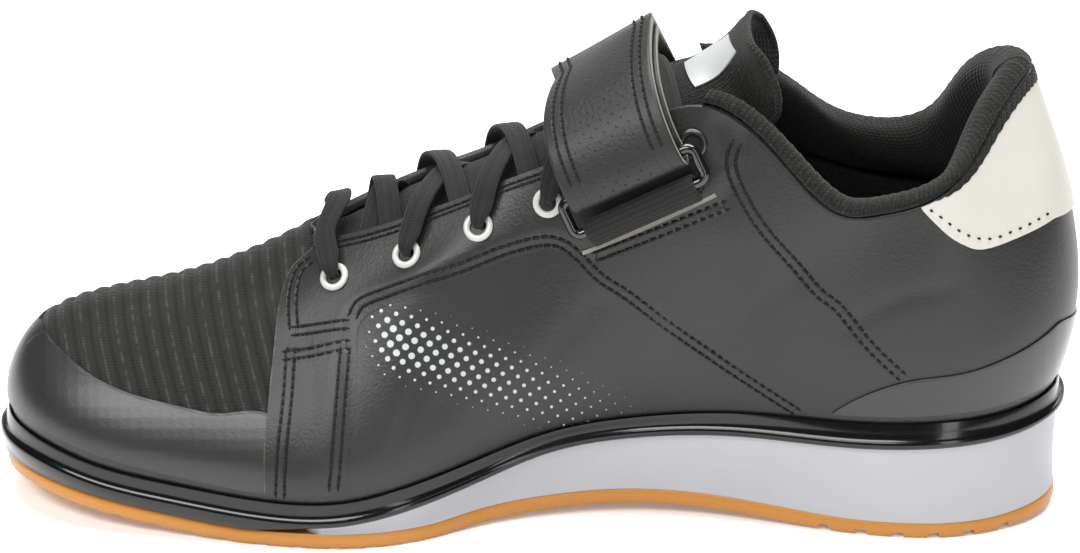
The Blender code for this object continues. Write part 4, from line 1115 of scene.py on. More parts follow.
# Each material: its maker, its colour and the maker's other values. Lengths are in metres.
MATERIALS = {
    # Soft embossed leather with a printed fade of dots
    "quarter_microfibre": (stitched_leather, "leather", dict(roughness=0.43, dotted=True)),
    # The same leather in a second layer
    "eyestay_microfibre": (stitched_leather, "leather", dict(roughness=0.43)),
    # Dull knit that is dark inside the shoe
    "upper_lining": (knit_cloth, "textile", dict(column=0.0016, row=0.0011, deep=0.0002)),
    # Rows of cords across the toe
    "vamp_knit": (ribbed_vamp, "textile", {}),
    # A wide soft shine round the toe
    "toe_film": (satin_film, "film", dict(roughness=0.38)),
    # A tighter shine round the heel
    "counter_film": (satin_film, "film", dict(roughness=0.30)),
    # Off-white leather with the same grain
    "patch_leather": (stitched_leather, "patch", dict(roughness=0.5)),
    # A thin pale fibrous line
    "slit_edge_cut": (smooth_moulded, "raw_edge", dict(roughness=0.75, deep=0.00012, size=0.0004)),
    # Long sharp highlights on black
    "rim_polyurethane": (
        smooth_moulded, "rim", dict(roughness=0.2, deep=0.00002, size=0.0012, coat=0.3, gloss=0.3)
    ),
    # Even dull white
    "wedge_foam": (smooth_moulded, "midsole", dict(roughness=0.5, deep=0.00005, size=0.0007)),
    # Amber rubber with darker specks
    "gum_rubber": (smooth_moulded, "gum", dict(roughness=0.42, deep=0.00006, size=0.0009, speck="#8a4a14")),
    # Flat fine jersey
    "insole_jersey": (knit_cloth, "textile", dict(column=0.0014, row=0.0010, deep=0.0002)),
    # Matt knit over the padding
    "collar_knit": (knit_cloth, "textile", dict(column=0.0015, row=0.0012, deep=0.00025, lighter=1.5)),
    # Slanted stitches with painted highlights on their crests
    "binding_knit": (
        knit_cloth, "textile", dict(column=0.0014, row=0.0011, deep=0.0003, lighter=3.0, slant=1.6)
    ),
    # Fine knit with small round holes
    "tongue_mesh": (knit_cloth, "textile", dict(column=0.0009, row=0.0008, deep=0.0002, holes=0.0022)),
    # Pale smooth film
    "label_film": (smooth_moulded, "#a4a7a6", dict(roughness=0.35, deep=0.00003, size=0.0006)),
    # Leather with punched holes
    "strap_microfibre": (strap_leather, "leather", {}),
    # The pale backing that shows where the strap is cut
    "strap_cut_edge": (smooth_moulded, "raw_edge", dict(roughness=0.75, deep=0.00012, size=0.0005)),
    # Black enamel with small highlights
    "ring_enamel": (smooth_moulded, "rim", dict(roughness=0.2, deep=0.00002, size=0.001, coat=0.5)),
    # Long ribs along the webbing
    "loop_webbing": (
        woven_band, "lace", dict(rib=0.0013, pick=0.0007, deep=0.0002, ribs_over=0, lighter=3.0)
    ),
    # Fine ribs along the lace
    "lace_tape": (woven_band, "lace", dict(rib=0.0012, pick=0.0008, deep=0.0002)),
    # Light lacquer on the lower rings
    "eyelet_lacquer": (smooth_moulded, "eyelet", dict(roughness=0.3, deep=0.00002, size=0.0008, coat=0.3)),
    # Painted shade: a near-black mark for the shadow in a needle hole
    "needle_hole": (smooth_moulded, "#040404", dict(roughness=0.95, deep=0.00002, size=0.0006)),
    # Painted shade: the top rings in a dark copy of the eyelet lacquer
    "eyelet_black": (smooth_moulded, "#1b1b1c", dict(roughness=0.3, deep=0.00002, size=0.0008, coat=0.3)),
    # Black twisted thread
    "thread": (woven_band, "lace", dict(rib=0.0004, pick=0.0005, deep=0.0001)),
    # White floor with a faint shadow
    "studio_paper": (lit_paper, "#fcfcfc", dict(glow=0.16)),
}
PAINTS = {}


def paint(name):
    """The material of that name, made when it is first asked for."""
    if name not in PAINTS:
        maker, base, values = MATERIALS[name]
        PAINTS[name] = maker(name, colour(base), **values)
    return PAINTS[name]


def build_upper():
    outer = [SKIN[:, r] for r in range(len(ROWS)) if ROWS[r] >= 1.0]
    inner_rows = np.linspace(TOP_ROW, 2.0, 15)
    inner = [skin(r, -LEATHER) for r in inner_rows]
    rings = [
        SOLE.ring(RIM_REACH + MARGIN, 0.0, BED), SOLE.ring(RIM_REACH + 0.9, 0.0, BED),
        skin(0.15, 0.0), *outer,
        skin(TOP_ROW, -0.3, 0.35), skin(TOP_ROW, -LEATHER / 2, 0.5),
        skin(TOP_ROW, 0.3 - LEATHER, 0.35), *inner,
        SOLE.ring(RIM_REACH + LEATHER + 0.6, MARGIN_THICK + 0.4, BED),
        SOLE.ring(RIM_REACH + MARGIN, MARGIN_THICK, BED),
    ]
    lined = len(outer) + 3
    face_paint = np.repeat([0 if r < lined else 1 for r in range(len(rings))], FINE)
    paints = [paint("quarter_microfibre"), paint("upper_lining")]
    made = hoop_piece("upper", rings, paints, face_paint=face_paint)
    seam = np.full((len(rings), FINE), FAR)
    flat = np.zeros((len(rings), FINE, 2))
    run = np.arange(FINE) / FINE * 0.8
    for k in range(len(rings)):
        flat[k] = np.column_stack([run, np.full(FINE, 0.002 * k)])
    first = len(ROWS) - len(outer)
    for k in range(len(outer)):
        seam[3 + k] = SEAM_AWAY[:, first + k]
        flat[3 + k] = FLAT[:, first + k] / PIXELS_PER_METRE
    give(made, "seam", seam)
    give(made, "edge", np.full(seam.size, FAR))
    give_uv(made, flat)
    settle(made, "upper_leather", "upper")


# How far back a rib bends, at what distance from its top
RIB_BEND = (9.9, 44.0)
# The vamp's ends and the step between its rows along the shoe
VAMP_ENDS = (-147.0, -59.0)
VAMP_STEP = 0.5
# Its rows turn about a line inside the toe box: the line's side and height, and how far they turn each way
VAMP_AXIS = (-3.0, 26.0)
VAMP_TURN = 100
VAMP_COLUMNS = 130
# The height that a rib's distance is counted from, and the pixel past which the eyestay hides the vamp
VAMP_TOP = 76.0
HIDDEN_FROM = (300, 280)


def new_tree(name, floats):
    """A geometry tree with its sockets, the function that adds nodes to it, and its input's sockets."""
    tree = bpy.data.node_groups.new(name, "GeometryNodeTree")
    sockets = [("Geometry", "INPUT", "Geometry"), ("Geometry", "OUTPUT", "Geometry")]
    sockets += [(label, "INPUT", "Float") for label in floats] + [("Material", "INPUT", "Material")]
    for label, way, kind in sockets:
        tree.interface.new_socket(label, in_out=way, socket_type="NodeSocket" + kind)
    return tree, partial(add, tree), add(tree, "NodeGroupInput").outputs


def close_tree(node, start, geometry, soft=True):
    """Ends a geometry tree: real faces, soft where asked, in the given material."""
    made = node("GeometryNodeRealizeInstances", geometry)
    if soft:
        made = node("GeometryNodeSetShadeSmooth", made)
    made = node("GeometryNodeSetMaterial", {"Geometry": made, "Material": start["Material"]})
    node("NodeGroupOutput", made)


def rib_tree():
    """Geometry nodes that raise the vamp's cords along its normals, from the phase stored on it."""
    tree, node, start = new_tree("vamp_ribs", ("Pitch", "Height"))
    phase, mask = [node("GeometryNodeInputNamedAttribute", {"Name": name}) for name in ("phase", "mask")]
    turn = node("DIVIDE", node("MULTIPLY", phase, 0.001), start["Pitch"])
    off = node("ABSOLUTE", node("SUBTRACT", node("FRACT", turn), 0.5))
    cord = node("SUBTRACT", 1.0, node("POWER", node("MULTIPLY", off, 2.0, clamp=True), 1.6))
    raised = node("MULTIPLY", node("MULTIPLY", cord, start["Height"]), mask)
    push = node(
        "ShaderNodeVectorMath", {0: node("GeometryNodeInputNormal"), "Scale": raised}, operation="SCALE",
    )
    moved = node("GeometryNodeSetPosition", {"Geometry": start["Geometry"], "Offset": push})
    close_tree(node, start, moved, soft=False)
    return tree


def run_nodes(made, tree, **inputs):
    """Runs a geometry tree on a piece, keeps its result as a plain mesh and takes the modifier away."""
    modifier = made.modifiers.new(tree.name, "NODES")
    modifier.node_group = tree
    names = {item.name: item.identifier for item in tree.interface.items_tree if item.in_out == "INPUT"}
    for name, value in inputs.items():
        modifier[names[name.replace("_", " ")]] = value
    made.update_tag()
    bpy.context.view_layer.update()
    graph = bpy.context.evaluated_depsgraph_get()
    result = bpy.data.meshes.new_from_object(made.evaluated_get(graph))
    made.modifiers.clear()
    old = made.data
    made.data = result
    result.name = made.name
    bpy.data.meshes.remove(old)
    return made


def build_vamp():
    """The ribbed knit over the toe box: a closed sheet whose rows follow the ribs."""
    x_rows = np.arange(*VAMP_ENDS, VAMP_STEP)
    turns = np.radians(np.linspace(-VAMP_TURN, VAMP_TURN, VAMP_COLUMNS))
    top, low, phase, across, mask = [], [], [], [], []
    for x0 in x_rows:
        for turn in turns:
            guess = RIB_BEND[1] * abs(turn)
            x = max(x0 + RIB_BEND[0] * (guess / RIB_BEND[1]) ** 1.5, -150.0)
            start = Vector((x, *VAMP_AXIS))
            way = Vector((0, sin(turn), cos(turn)))
            hit, _, index, _ = WHOLE_TREE.ray_cast(start, way)
            if hit is None:
                hit, _, index, _ = WHOLE_TREE.find_nearest(start + way * 45)
            c, r = divmod(index, len(ROWS) - 1)
            normal = unit(NORMAL[c, r] + NORMAL[(c + 1) % FINE, r + 1])
            hit = np.array(hit)
            chord = np.hypot(hit[1] + 1.0, max(0.0, VAMP_TOP - hit[2]) * 0.9)
            phase.append(hit[0] - RIB_BEND[0] * (chord / RIB_BEND[1]) ** 1.5)
            across.append(np.sign(turn) * chord)
            behind = FLAT[c, r, 0] > HIDDEN_FROM[0] and FLAT[c, r, 1] > HIDDEN_FROM[1]
            mask.append(0.0 if behind else float(smooth((2.6 - max(STAY[c, r], GUARD[c, r])) / 1.6)))
            top.append(hit + normal * (0.06 * mask[-1] - 0.30 * (1 - mask[-1])))
            low.append(hit - normal * 0.9)
    count = len(top)
    faces = sheet_faces(len(x_rows), len(turns))
    made = mesh_piece("vamp_knit", np.vstack([top, low]), faces, [paint("vamp_knit")])
    give(made, "phase", phase + phase)
    give(made, "mask", mask + [0.0] * count)
    across = np.array(across) / 1000
    flat = np.column_stack([across, np.array(phase) / 1000])
    give_uv(made, np.vstack([flat, flat]))
    values = dict(Pitch=sizes().rib_pitch, Height=sizes().rib_height, Material=paint("vamp_knit"))
    run_nodes(made, rib_tree(), **values)
    settle(made, "tongue_textile")


def build_overlays():
    film = np.full(SKIN.shape[:2], FILM_LIFT)
    guard = plate_piece("toe_guard", np.minimum(GUARD, 3.0 - STAY), film, 0.05, [paint("toe_film")])
    settle(guard, "guard_film", "toe_guard")
    counter = plate_piece("heel_counter", COUNTER, film - 0.45, 0.05, [paint("counter_film")])
    settle(counter, "guard_film", "heel_counter")
    deep = 3.2 * smooth((SKIN[:, -1:, 0] - 108.0) / 16.0)
    run = np.arange(FINE)[:, None]
    ragged = deep - 0.4 - _reach + 0.25 * np.sin(run * 2.2 + 0.8 * np.sin(run / 3.0))
    patch = np.full(SKIN.shape[:2], PATCH_LIFT)
    white = plate_piece("heel_patch", np.minimum(PATCH, -ragged), patch, 0.05, [paint("patch_leather")])
    settle(white, "heel_patch_white", "heel_patch")
    flap = plate_piece("heel_binding", ragged, film + 0.1, 0.05, [paint("binding_knit")], rows=(4.0, TOP_ROW))
    settle(flap, "collar_textile")
    for side, part in (("medial", _shares < 0.5), ("lateral", _shares > 0.5)):
        half = np.where(part[:, None], STAY, -1.0)
        cut = np.where(STAY_SOFT < 6.0, FAR, np.abs(STAY))
        made = plate_piece("eyestay_" + side, half, STAY_LIFT, -0.1, [paint("eyestay_microfibre")], edge=cut)
        settle(made, "eyestay_leather", "eyestay_" + side)


def build_rim():
    rings = [
        SOLE.ring(RIM_REACH + 3.2, 0.0, under_rim), SOLE.ring(1.1, 0.0, under_rim),
        SOLE.ring(0.35, 0.5, under_rim),
        SOLE.ring(0.08, SOLE.lip - 0.75), SOLE.ring(0.0, SOLE.lip - 0.35), SOLE.ring(0.05, SOLE.lip + 0.25),
        SOLE.ring(0.35, SOLE.lip + 0.72), SOLE.ring(0.75, SOLE.lip + 0.62), SOLE.ring(1.05, SOLE.lip + 0.35),
        SOLE.ring(1.35, SOLE.lip + 0.72), SOLE.ring(1.75, SOLE.lip + 1.35),
    ]
    outer, inner = rings[-1], skin(1.0, GAP + 0.75, -0.5)
    for share in (0.35, 0.7, 1.0):
        bulge = np.array([0, 0, 0.35 * sin(pi * share)])
        rings.append(outer + (inner - outer) * share + bulge)
    rings += [
        skin(1.0, GAP + 0.45, 0.05), skin(1.0, GAP, 0.0), skin(0.15, GAP),
        SOLE.ring(RIM_REACH + 0.5, -GAP - 0.1, BED), SOLE.ring(RIM_REACH + 3.2, -GAP - 0.1, BED),
    ]
    rings[2][:, 2] = np.minimum(rings[2][:, 2], SOLE.lip - 0.9)
    made = hoop_piece("rim", rings, [paint("rim_polyurethane")], sharp=60)
    settle(made, "rim_gloss", "rim")


def build_midsole():
    outer = SOLE.plan(SOLE_INSET + 0.3)
    room = np.clip((under_rim(outer) - FLOOR(outer) - GUM_HEIGHT - 2 * GAP - 0.8) / 0.6, 0, 1)
    inset = (RIM_REACH + 4.0) * (1 - room) + (SOLE_INSET + 0.3) * room
    low = SOLE.ring(inset, GUM_HEIGHT + 0.1, FLOOR)
    high = SOLE.ring(inset, -0.1, under_rim)
    high[:, 2] = np.maximum(high[:, 2], low[:, 2] + 0.5)
    sides = []
    for share in np.linspace(0, 1, 7):
        hollow = (0.55 * sin(pi * share) ** 0.7 if 0 < share < 1 else 0.0) * room
        ring = SOLE.ring(inset + hollow, 0.0)
        ring[:, 2] = low[:, 2] + (high[:, 2] - low[:, 2]) * share
        sides.append(ring)
    plug = SOLE.ring(RIM_REACH + 4.4, -GAP, under_rim)
    plug[:, 2] = np.maximum(plug[:, 2], low[:, 2] + 0.52)
    made = stack_piece("midsole", [
        *sides, plug, SOLE.ring(RIM_REACH + 4.6, -GAP, BED),
        SOLE.ring(RIM_REACH + MARGIN + 0.6, -GAP + 0.01, BED),
        SOLE.ring(RIM_REACH + MARGIN + 0.8, MARGIN_THICK - 0.2, BED),
    ], [paint("wedge_foam")], sharp=50)
    settle(made, "midsole_white", "midsole")


NOTCHES = [0.055 + 0.034 * i for i in range(6)] + [0.60 + 0.034 * i for i in range(9)]


def build_outsole():
    fine = Outline(1500)
    floor = fine.field(fine.ground)
    x = fine.xy[:, 0]
    notch = np.zeros(len(x))
    for along in NOTCHES:
        depth = 1.0 if along < 0.5 else 0.25
        notch = np.maximum(notch, depth * smooth((1.75 - np.abs(x - x_at(along))) / 0.45))
    notch = np.where(np.abs(fine.xy[:, 1]) > 12, notch, 0.0)
    rings = []
    for inset, up, cut in (
        (9.0, 0.0, 0.0), (7.5, 0.0, 1.3), (2.6, 0.0, 1.3), (SOLE_INSET + 0.7, 0.05, 1.3),
        (SOLE_INSET + 0.15, 0.5, 1.1), (SOLE_INSET, 1.2, 0.5), (SOLE_INSET, 2.4, 0.0),
        (SOLE_INSET + 0.1, GUM_HEIGHT - 0.5, 0.0), (SOLE_INSET + 0.5, GUM_HEIGHT, 0.0),
    ):
        rings.append(fine.ring(inset, up + cut * notch, floor))
    made = stack_piece("outsole", rings, [paint("gum_rubber")], sharp=40)
    settle(made, "gum_rubber", "outsole")


def build_insole():
    base = MARGIN_THICK + GAP
    made = stack_piece("insole", [
        SOLE.ring(RIM_REACH + 5.0, base + 0.3, BED),
        SOLE.ring(RIM_REACH + 4.4, base + INSOLE_THICK - 0.9, BED),
        SOLE.ring(RIM_REACH + 4.8, base + INSOLE_THICK - 0.2, BED),
        SOLE.ring(RIM_REACH + 5.8, base + INSOLE_THICK, BED),
    ], [paint("insole_jersey")])
    at = np.array([v.co for v in made.data.vertices])
    give_uv(made, at[:, :2])
    settle(made, "insole_cloth", "insole")


def collar_profile(share, pad):
    """The collar's section as rows, outs and ups from the upper's edge, from CAD."""
    back = -LEATHER - GAP - 0.15
    return (
        (TOP_ROW - 2.4, back, 0.0), (TOP_ROW - 1.6, back, 0.0), (TOP_ROW - 0.8, back, 0.0),
        (TOP_ROW, back, 0.0),
        (TOP_ROW, back, 0.75), (TOP_ROW, 0.0, 0.8), (TOP_ROW, 0.7, 2.0), (TOP_ROW, -0.4, 4.0),
        (TOP_ROW, -2.6, 4.9),
        (TOP_ROW, -2.6 - 0.6 * pad, 4.0), (TOP_ROW, back - pad, 1.0),
        (TOP_ROW - 0.8, back - pad - 0.4 * share, 0.0),
        (TOP_ROW - 1.6, back - 0.75 * pad, 0.0), (TOP_ROW - 2.4, back - 1.2, 0.0),
    )


def build_collar():
    shares = np.linspace(CORNER[1], 1 + CORNER[-1], 300)
    corners = []
    for k, at in enumerate(shares):
        share = max(sin(pi * k / (len(shares) - 1)), 0.0) ** 0.5
        points = []
        for row, off, up in collar_profile(share, 2.6 + 5.4 * share):
            point, normal, rise = face(at, row)
            points.append(point + normal * off + rise * up)
        corners.append(points)
    corners = np.array(corners)
    steps = 56
    sections, run_round = [], np.zeros((len(shares), steps))
    for k, points in enumerate(corners):
        ring = even(np.vstack([points, points[:1]]), steps + 1)[:-1]
        sections.append(ring)
        run_round[k] = run_along(ring)
    sections = np.array(sections)
    ridge = sections.mean(axis=1)
    run_long = run_along(ridge)
    # The binding covers the roll from the upper's edge to just inside the ridge, and stands a little proud
    reach = []
    for k in range(len(shares)):
        low = np.argmin(np.linalg.norm(sections[k] - corners[k, 5], axis=1))
        high = np.argmin(np.linalg.norm(sections[k] - (corners[k, 8] * 0.45 + corners[k, 9] * 0.55), axis=1))
        reach.append((low, high))
    lows, highs = np.array(reach).T
    low, high = int(np.median(lows)), int(np.median(highs))
    middle = sections.mean(axis=1, keepdims=True)
    out = unit(sections - middle)
    index = np.arange(steps)
    body = smooth((index - low + 0.5) / 1.2) * smooth((high - index + 0.5) / 1.2)
    ripple = 0.12 * np.sin(run_long[:, None] * 2 * pi / 3.1 + index[None] * 0.5)
    sections = sections + out * (body[None] * (0.35 + ripple))[..., None]
    face_paint = [0 if low <= i < high else 1 for i in range(steps)] * (len(shares) - 1) + [1, 1]
    paints = [paint("binding_knit"), paint("collar_knit")]
    made = loft_piece("collar", list(sections), paints, face_paint=face_paint)
    give_uv(made, np.stack(np.broadcast_arrays(run_long[:, None], run_round), axis=-1) / 1000)
    settle(made, "collar_textile", "collar")


def tongue_lines():
    """The tongue's upper lines as in CAD: seven points across each of its sections, and their thickness."""
    lines, thick = [], []
    first = SKIN[int(FINE * (0.5 - 3 / CAD_COLUMNS)), -1, 0] + 1.0
    last = SKIN[int(round(CORNER[-1] * FINE)), -1, 0] - 6.0
    for share in np.linspace(0, 1, 8):
        inset = LEATHER + GAP + 0.6 + 3.3 * share ** 3
        x = first + (last - first) * share
        rows = (TOP_ROW - 1.3, TOP_ROW - 0.65, TOP_ROW)
        medial, lateral = edge_share(-1, x), edge_share(1, x)
        left = [face(medial, r, -inset)[0] for r in rows]
        right = [face(lateral, r, -inset)[0] for r in reversed(rows)]
        middle = (left[-1] + right[0]) / 2 + np.array([0, 0, 2.0 + 5.0 * share])
        lines.append([*left, middle, *right])
        thick.append(3.2 + 1.8 * share)
    for row in TONGUE_TOP.values():
        line = []
        for w in np.linspace(-1, 1, 7):
            bend = w * w
            line.append((
                LENGTH * (row["x"] + (row["edge_x"] - row["x"]) * bend),
                BALL_WIDTH * row["edge_y"] * sin(w * pi / 2),
                TOP_HEIGHT * (row["z"] + (row["edge_z"] - row["z"]) * bend),
            ))
        lines.append(line)
        thick.append(5.0)
    return np.array(lines), np.array(thick)


def below_line(above, thick):
    """The lower line of a padded section."""
    along = unit(np.gradient(above, axis=0))
    down = np.cross(along, np.array([1.0, 0, 0.5]))
    down *= np.where(down[:, 2:] > 0, -1, 1)
    share = np.sin(np.linspace(0.25, pi - 0.25, len(above)))[:, None]
    return above + unit(down) * thick * share


TONGUE_LONG, TONGUE_WIDE = 130, 49
# The pixel of the photo where the label's middle shows
LABEL_AT = (711, 60)


def tongue_grids():
    lines, thick = tongue_lines()
    under = np.array([below_line(line, t) for line, t in zip(lines, thick)])
    grids = []
    for grid in (lines, under):
        wide = np.array([even(line, TONGUE_WIDE) for line in grid])
        grids.append(np.stack([even(wide[:, j], TONGUE_LONG) for j in range(TONGUE_WIDE)], axis=1))
    return grids


def build_tongue():
    above, below = tongue_grids()
    sections = []
    for k in range(TONGUE_LONG):
        share = k / (TONGUE_LONG - 1)
        # The brim's edge is closed round
        pinch = 0.5 * smooth((share - 0.97) / 0.03)
        middle = (above[k] + below[k]) / 2
        top = above[k] + (middle - above[k]) * pinch
        low = below[k] + (middle - below[k]) * pinch
        sections.append(np.vstack([top, low[::-1]]))
    sections = np.array(sections)
    across = np.linalg.norm(np.diff(above[TONGUE_LONG // 2], axis=0), axis=1).sum()
    run = run_along(above[:, TONGUE_WIDE // 2])
    kinds = [0 if i < TONGUE_WIDE - 1 else 1 for i in range(2 * TONGUE_WIDE)] * (TONGUE_LONG - 1) + [1, 1]
    paints = [paint("tongue_mesh"), paint("collar_knit")]
    made = loft_piece("tongue", list(sections), paints, face_paint=kinds)
    u = np.concatenate([np.linspace(0, across, TONGUE_WIDE), np.linspace(across, 0, TONGUE_WIDE)])
    give_uv(made, np.stack(np.broadcast_arrays(u[None], run[:, None]), axis=-1) / 1000)
    settle(made, "tongue_textile", "tongue")
    # Piping round the top
    start = int(TONGUE_LONG * 0.72)
    left = [(above[k, 0] + below[k, 0]) / 2 for k in range(start, TONGUE_LONG)]
    right = [(above[k, -1] + below[k, -1]) / 2 for k in range(TONGUE_LONG - 1, start - 1, -1)]
    brim = [(above[-1, j] + below[-1, j]) / 2 for j in range(1, TONGUE_WIDE - 1)]
    path = even(np.array(left + brim + right), 220)
    tube_piece("tongue_piping", path, 1.05, 12, paint("binding_knit"), "tongue_textile")
    # A plain label on the upper face
    spots = view(above.reshape(-1, 3)).reshape(TONGUE_LONG, TONGUE_WIDE, 2)
    near = np.argmin(np.linalg.norm(spots - LABEL_AT, axis=2))
    row, column = divmod(int(near), TONGUE_WIDE)
    label = above[max(row - 7, 0):min(row + 8, TONGUE_LONG - 3), max(column - 5, 0):column + 6]
    normal = unit(np.cross(np.gradient(label, axis=1), np.gradient(label, axis=0)))
    normal *= np.sign(np.sum(normal * BACK, axis=2, keepdims=True))
    top, low = label + normal * 0.55, label + normal * 0.02
    sheet_piece("tongue_label", top, low, paint("label_film"), "tongue_textile")


def sheet_piece(name, top, low, colouring, slot):
    """A closed thin plate between two grids of points."""
    both = np.vstack([top.reshape(-1, 3), low.reshape(-1, 3)])
    made = mesh_piece(name, both, sheet_faces(*top.shape[:2]), [colouring], sharp=50)
    settle(made, slot)
    return made


def tube_sections(path, radius, sides, flat=1.0, up=None, closed=False, widths=None):
    """Rings of points along a path, wide across and flat along its up direction."""
    path = np.asarray(path, float)
    if closed:
        ahead = unit(np.roll(path, -1, axis=0) - np.roll(path, 1, axis=0))
    else:
        ahead = unit(np.gradient(path, axis=0))
    up = np.broadcast_to(np.array([0, 0, 1.0]) if up is None else np.asarray(up, float), path.shape)
    across = unit(np.cross(ahead, up))
    above = unit(np.cross(across, ahead))
    widths = np.ones(len(path)) if widths is None else widths
    sections = []
    for k in range(sides):
        a = 2 * pi * (k + 0.5) / sides
        ca, sa = cos(a), sin(a)
        if flat < 1.0:
            # A flat band: straight faces with round edges
            ca, sa = np.sign(ca) * abs(ca) ** 0.6, np.sign(sa) * abs(sa) ** 0.35
        sections.append(path + across * (ca * radius * widths)[:, None] + above * sa * radius * flat)
    return np.stack(sections, axis=1)


def grid_uv(along, around):
    """Pairs in metres for a grid of points, from their lengths along and around."""
    return np.stack(np.broadcast_arrays(along[:, None], around[None]), axis=-1) / 1000


def tube_piece(name, path, radius, sides, colouring, slot, *nodes, up=None, closed=False):
    """A round bar along a path, with a UV map in metres along and around."""
    rings = tube_sections(path, radius, sides, up=up, closed=closed)
    run = run_along(path)
    around = np.arange(sides) / sides * 2 * pi * radius
    made = (hoop_piece if closed else loft_piece)(name, list(rings), [colouring])
    give_uv(made, grid_uv(run, around))
    settle(made, slot, *nodes)
    return made


def across_instep(side, height, run):
    """A point from its side, its height square to the instep's slope, and its run along the slope."""
    lean = radians(STRAP_LEAN[0] + (STRAP_LEAN[1] - STRAP_LEAN[0]) * min(1.0, abs(side) / STRAP_LEAN[2]))
    run = run + 1.5 - 0.15 * abs(side)
    base = radians(STRAP_SLOPE)
    above = np.array([-sin(base), 0, cos(base)])
    along = np.array([cos(lean), 0, sin(lean)])
    middle = np.array([x_at(STRAP_MIDDLE[0]), 0.0, STRAP_MIDDLE[1] * TOP_HEIGHT])
    return middle + np.array([0, side, 0]) + above * height + along * run


def ribbon_piece(name, path, thick, width, count, paints, slot, *nodes):
    """A flat band along a path across the instep, its two cut edges in their own material."""
    path = even(path, count)
    turn = unit(np.gradient(path, axis=0))
    off = np.column_stack([-turn[:, 1], turn[:, 0]]) * thick / 2
    wide = np.concatenate([[-1.0, -0.985], np.linspace(-0.95, 0.95, 11), [0.985, 1.0]]) * width / 2
    depth = np.concatenate([[0.62, 0.93], np.ones(11), [0.93, 0.62]])
    sections = []
    for p, o in zip(path, off):
        top = [across_instep(*(p + o * d), w) for w, d in zip(wide, depth)]
        low = [across_instep(*(p - o * d), w) for w, d in zip(wide[::-1], depth)]
        sections.append(top + low)
    n = len(wide)
    edge = [1 if i in (n - 1, 2 * n - 1) else 0 for i in range(2 * n)]
    made = loft_piece(name, sections, paints, face_paint=edge * (count - 1) + [1, 1])
    middle = np.array([across_instep(*p, 0.0) for p in path])
    run = run_along(middle)
    give_uv(made, grid_uv(run, np.concatenate([wide, wide[::-1]])))
    settle(made, slot, *nodes)
    return path, off


def build_strap():
    paints = [paint("strap_microfibre"), paint("strap_cut_edge")]
    path, off = ribbon_piece(
        "strap", STRAP_PATH, STRAP_THICK, STRAP_WIDTH, 260, paints, "upper_leather", "strap",
    )
    loop = [paint("loop_webbing"), paint("loop_webbing")]
    ribbon_piece("ring_loop", LOOP_PATH, LOOP_THICK, STRAP_WIDTH - 1.0, 60, loop, "loop_webbing", "ring_loop")
    top, low = np.array(RING_TOP), np.array(RING_LOW)
    long_half, tall = (RING_LONG - WIRE) / 2, np.linalg.norm(low - top)
    step, bend = (low - top) / tall, 2.2
    corners = (
        (bend, long_half - bend, 90), (tall - bend, long_half - bend, 0),
        (tall - bend, bend - long_half, -90), (bend, bend - long_half, -180),
    )
    wire = []
    for down, run, start in corners:
        for a in np.radians(np.linspace(start + 90, start, 8)):
            place = top + step * (down + bend * cos(a))
            wire.append(across_instep(*place, run + bend * sin(a)))
    wire = np.array(wire)
    side = unit(np.cross(wire[8] - wire[0], wire[16] - wire[8]))
    enamel = paint("ring_enamel")
    tube_piece("strap_ring", wire, WIRE / 2, 16, enamel, "ring_enamel", "strap_ring", closed=True, up=side)
    # Two stitched rows along each border of the strap that shows
    rows = []
    for run in (-STRAP_ROWS[1], -STRAP_ROWS[0], *STRAP_ROWS):
        line = [across_instep(*(p + o * 1.08), run) for p, o in zip(path[136:252], off[136:252])]
        rows.append(np.array(line))
    stitch_piece("strap_stitches", rows, [outward(row) for row in rows])


def outward(line):
    """Directions away from the shoe's middle line."""
    line = np.asarray(line)
    axis = np.column_stack([line[:, 0] + 6.0, np.zeros(len(line)), np.full(len(line), 70.0)])
    return unit(line - axis)


def spots():
    """Share, row, centre, outward normal and up direction of each eyelet, by side."""
    found = {}
    for hand in (-1, 1):
        found[hand] = []
        for along, reach in EYELETS:
            shares = edge_share(hand, x_at(along)) + np.arange(-1.5, 1.6, 0.05) / CAD_COLUMNS
            rows = np.arange(TOP_ROW - 3.5, TOP_ROW - 0.9, 0.05)
            s, r = [g.ravel() for g in np.meshgrid(shares, rows, indexing="ij")]
            p = sample(s, r)[0]
            edge = sample(s, np.full(len(s), TOP_ROW))[0]
            miss = np.abs(p[:, 0] - x_at(along)) + np.abs(np.linalg.norm(edge - p, axis=1) - reach)
            k = int(np.argmin(miss))
            point, normal, rise = face(s[k], r[k])
            found[hand].append((s[k], r[k], point, normal, rise))
    return found


SPOTS = spots()
LACE_OVER = GAP + OVERLAY + 1.3 + GAP + LACE_THICK / 2


def lace_path(spot, hand, x_end, lift):
    """From an eyelet out over the throat's edge and across, down to the other edge."""
    _, _, p, normal, _ = spot
    edge_x = p[0] + 0.25 * (x_end - p[0])
    edge, edge_n, _ = face(edge_share(hand, edge_x), TOP_ROW, LACE_OVER)
    hit, _, index, _ = WHOLE_TREE.find_nearest(Vector((p + normal * LACE_OVER + edge) / 2))
    midway = np.array(hit) + unit(NORMAL[divmod(index, len(ROWS) - 1)]) * (LACE_OVER + 0.3)
    other = face(edge_share(-hand, x_end), TOP_ROW)[0] + np.array([0, -1.5 * hand, -3.4])
    middle = (edge + other) / 2 + np.array([0, 0, lift + 2.2])
    sky = np.array([0, 0, 1.0])
    up = [normal, unit(normal + edge_n), unit(edge_n + sky * 0.4), sky, sky]
    points = [p + normal * LACE_OVER, midway, edge + np.array([0, -0.4 * hand, 0.6]), middle, other]
    return np.array(points), np.array(up)


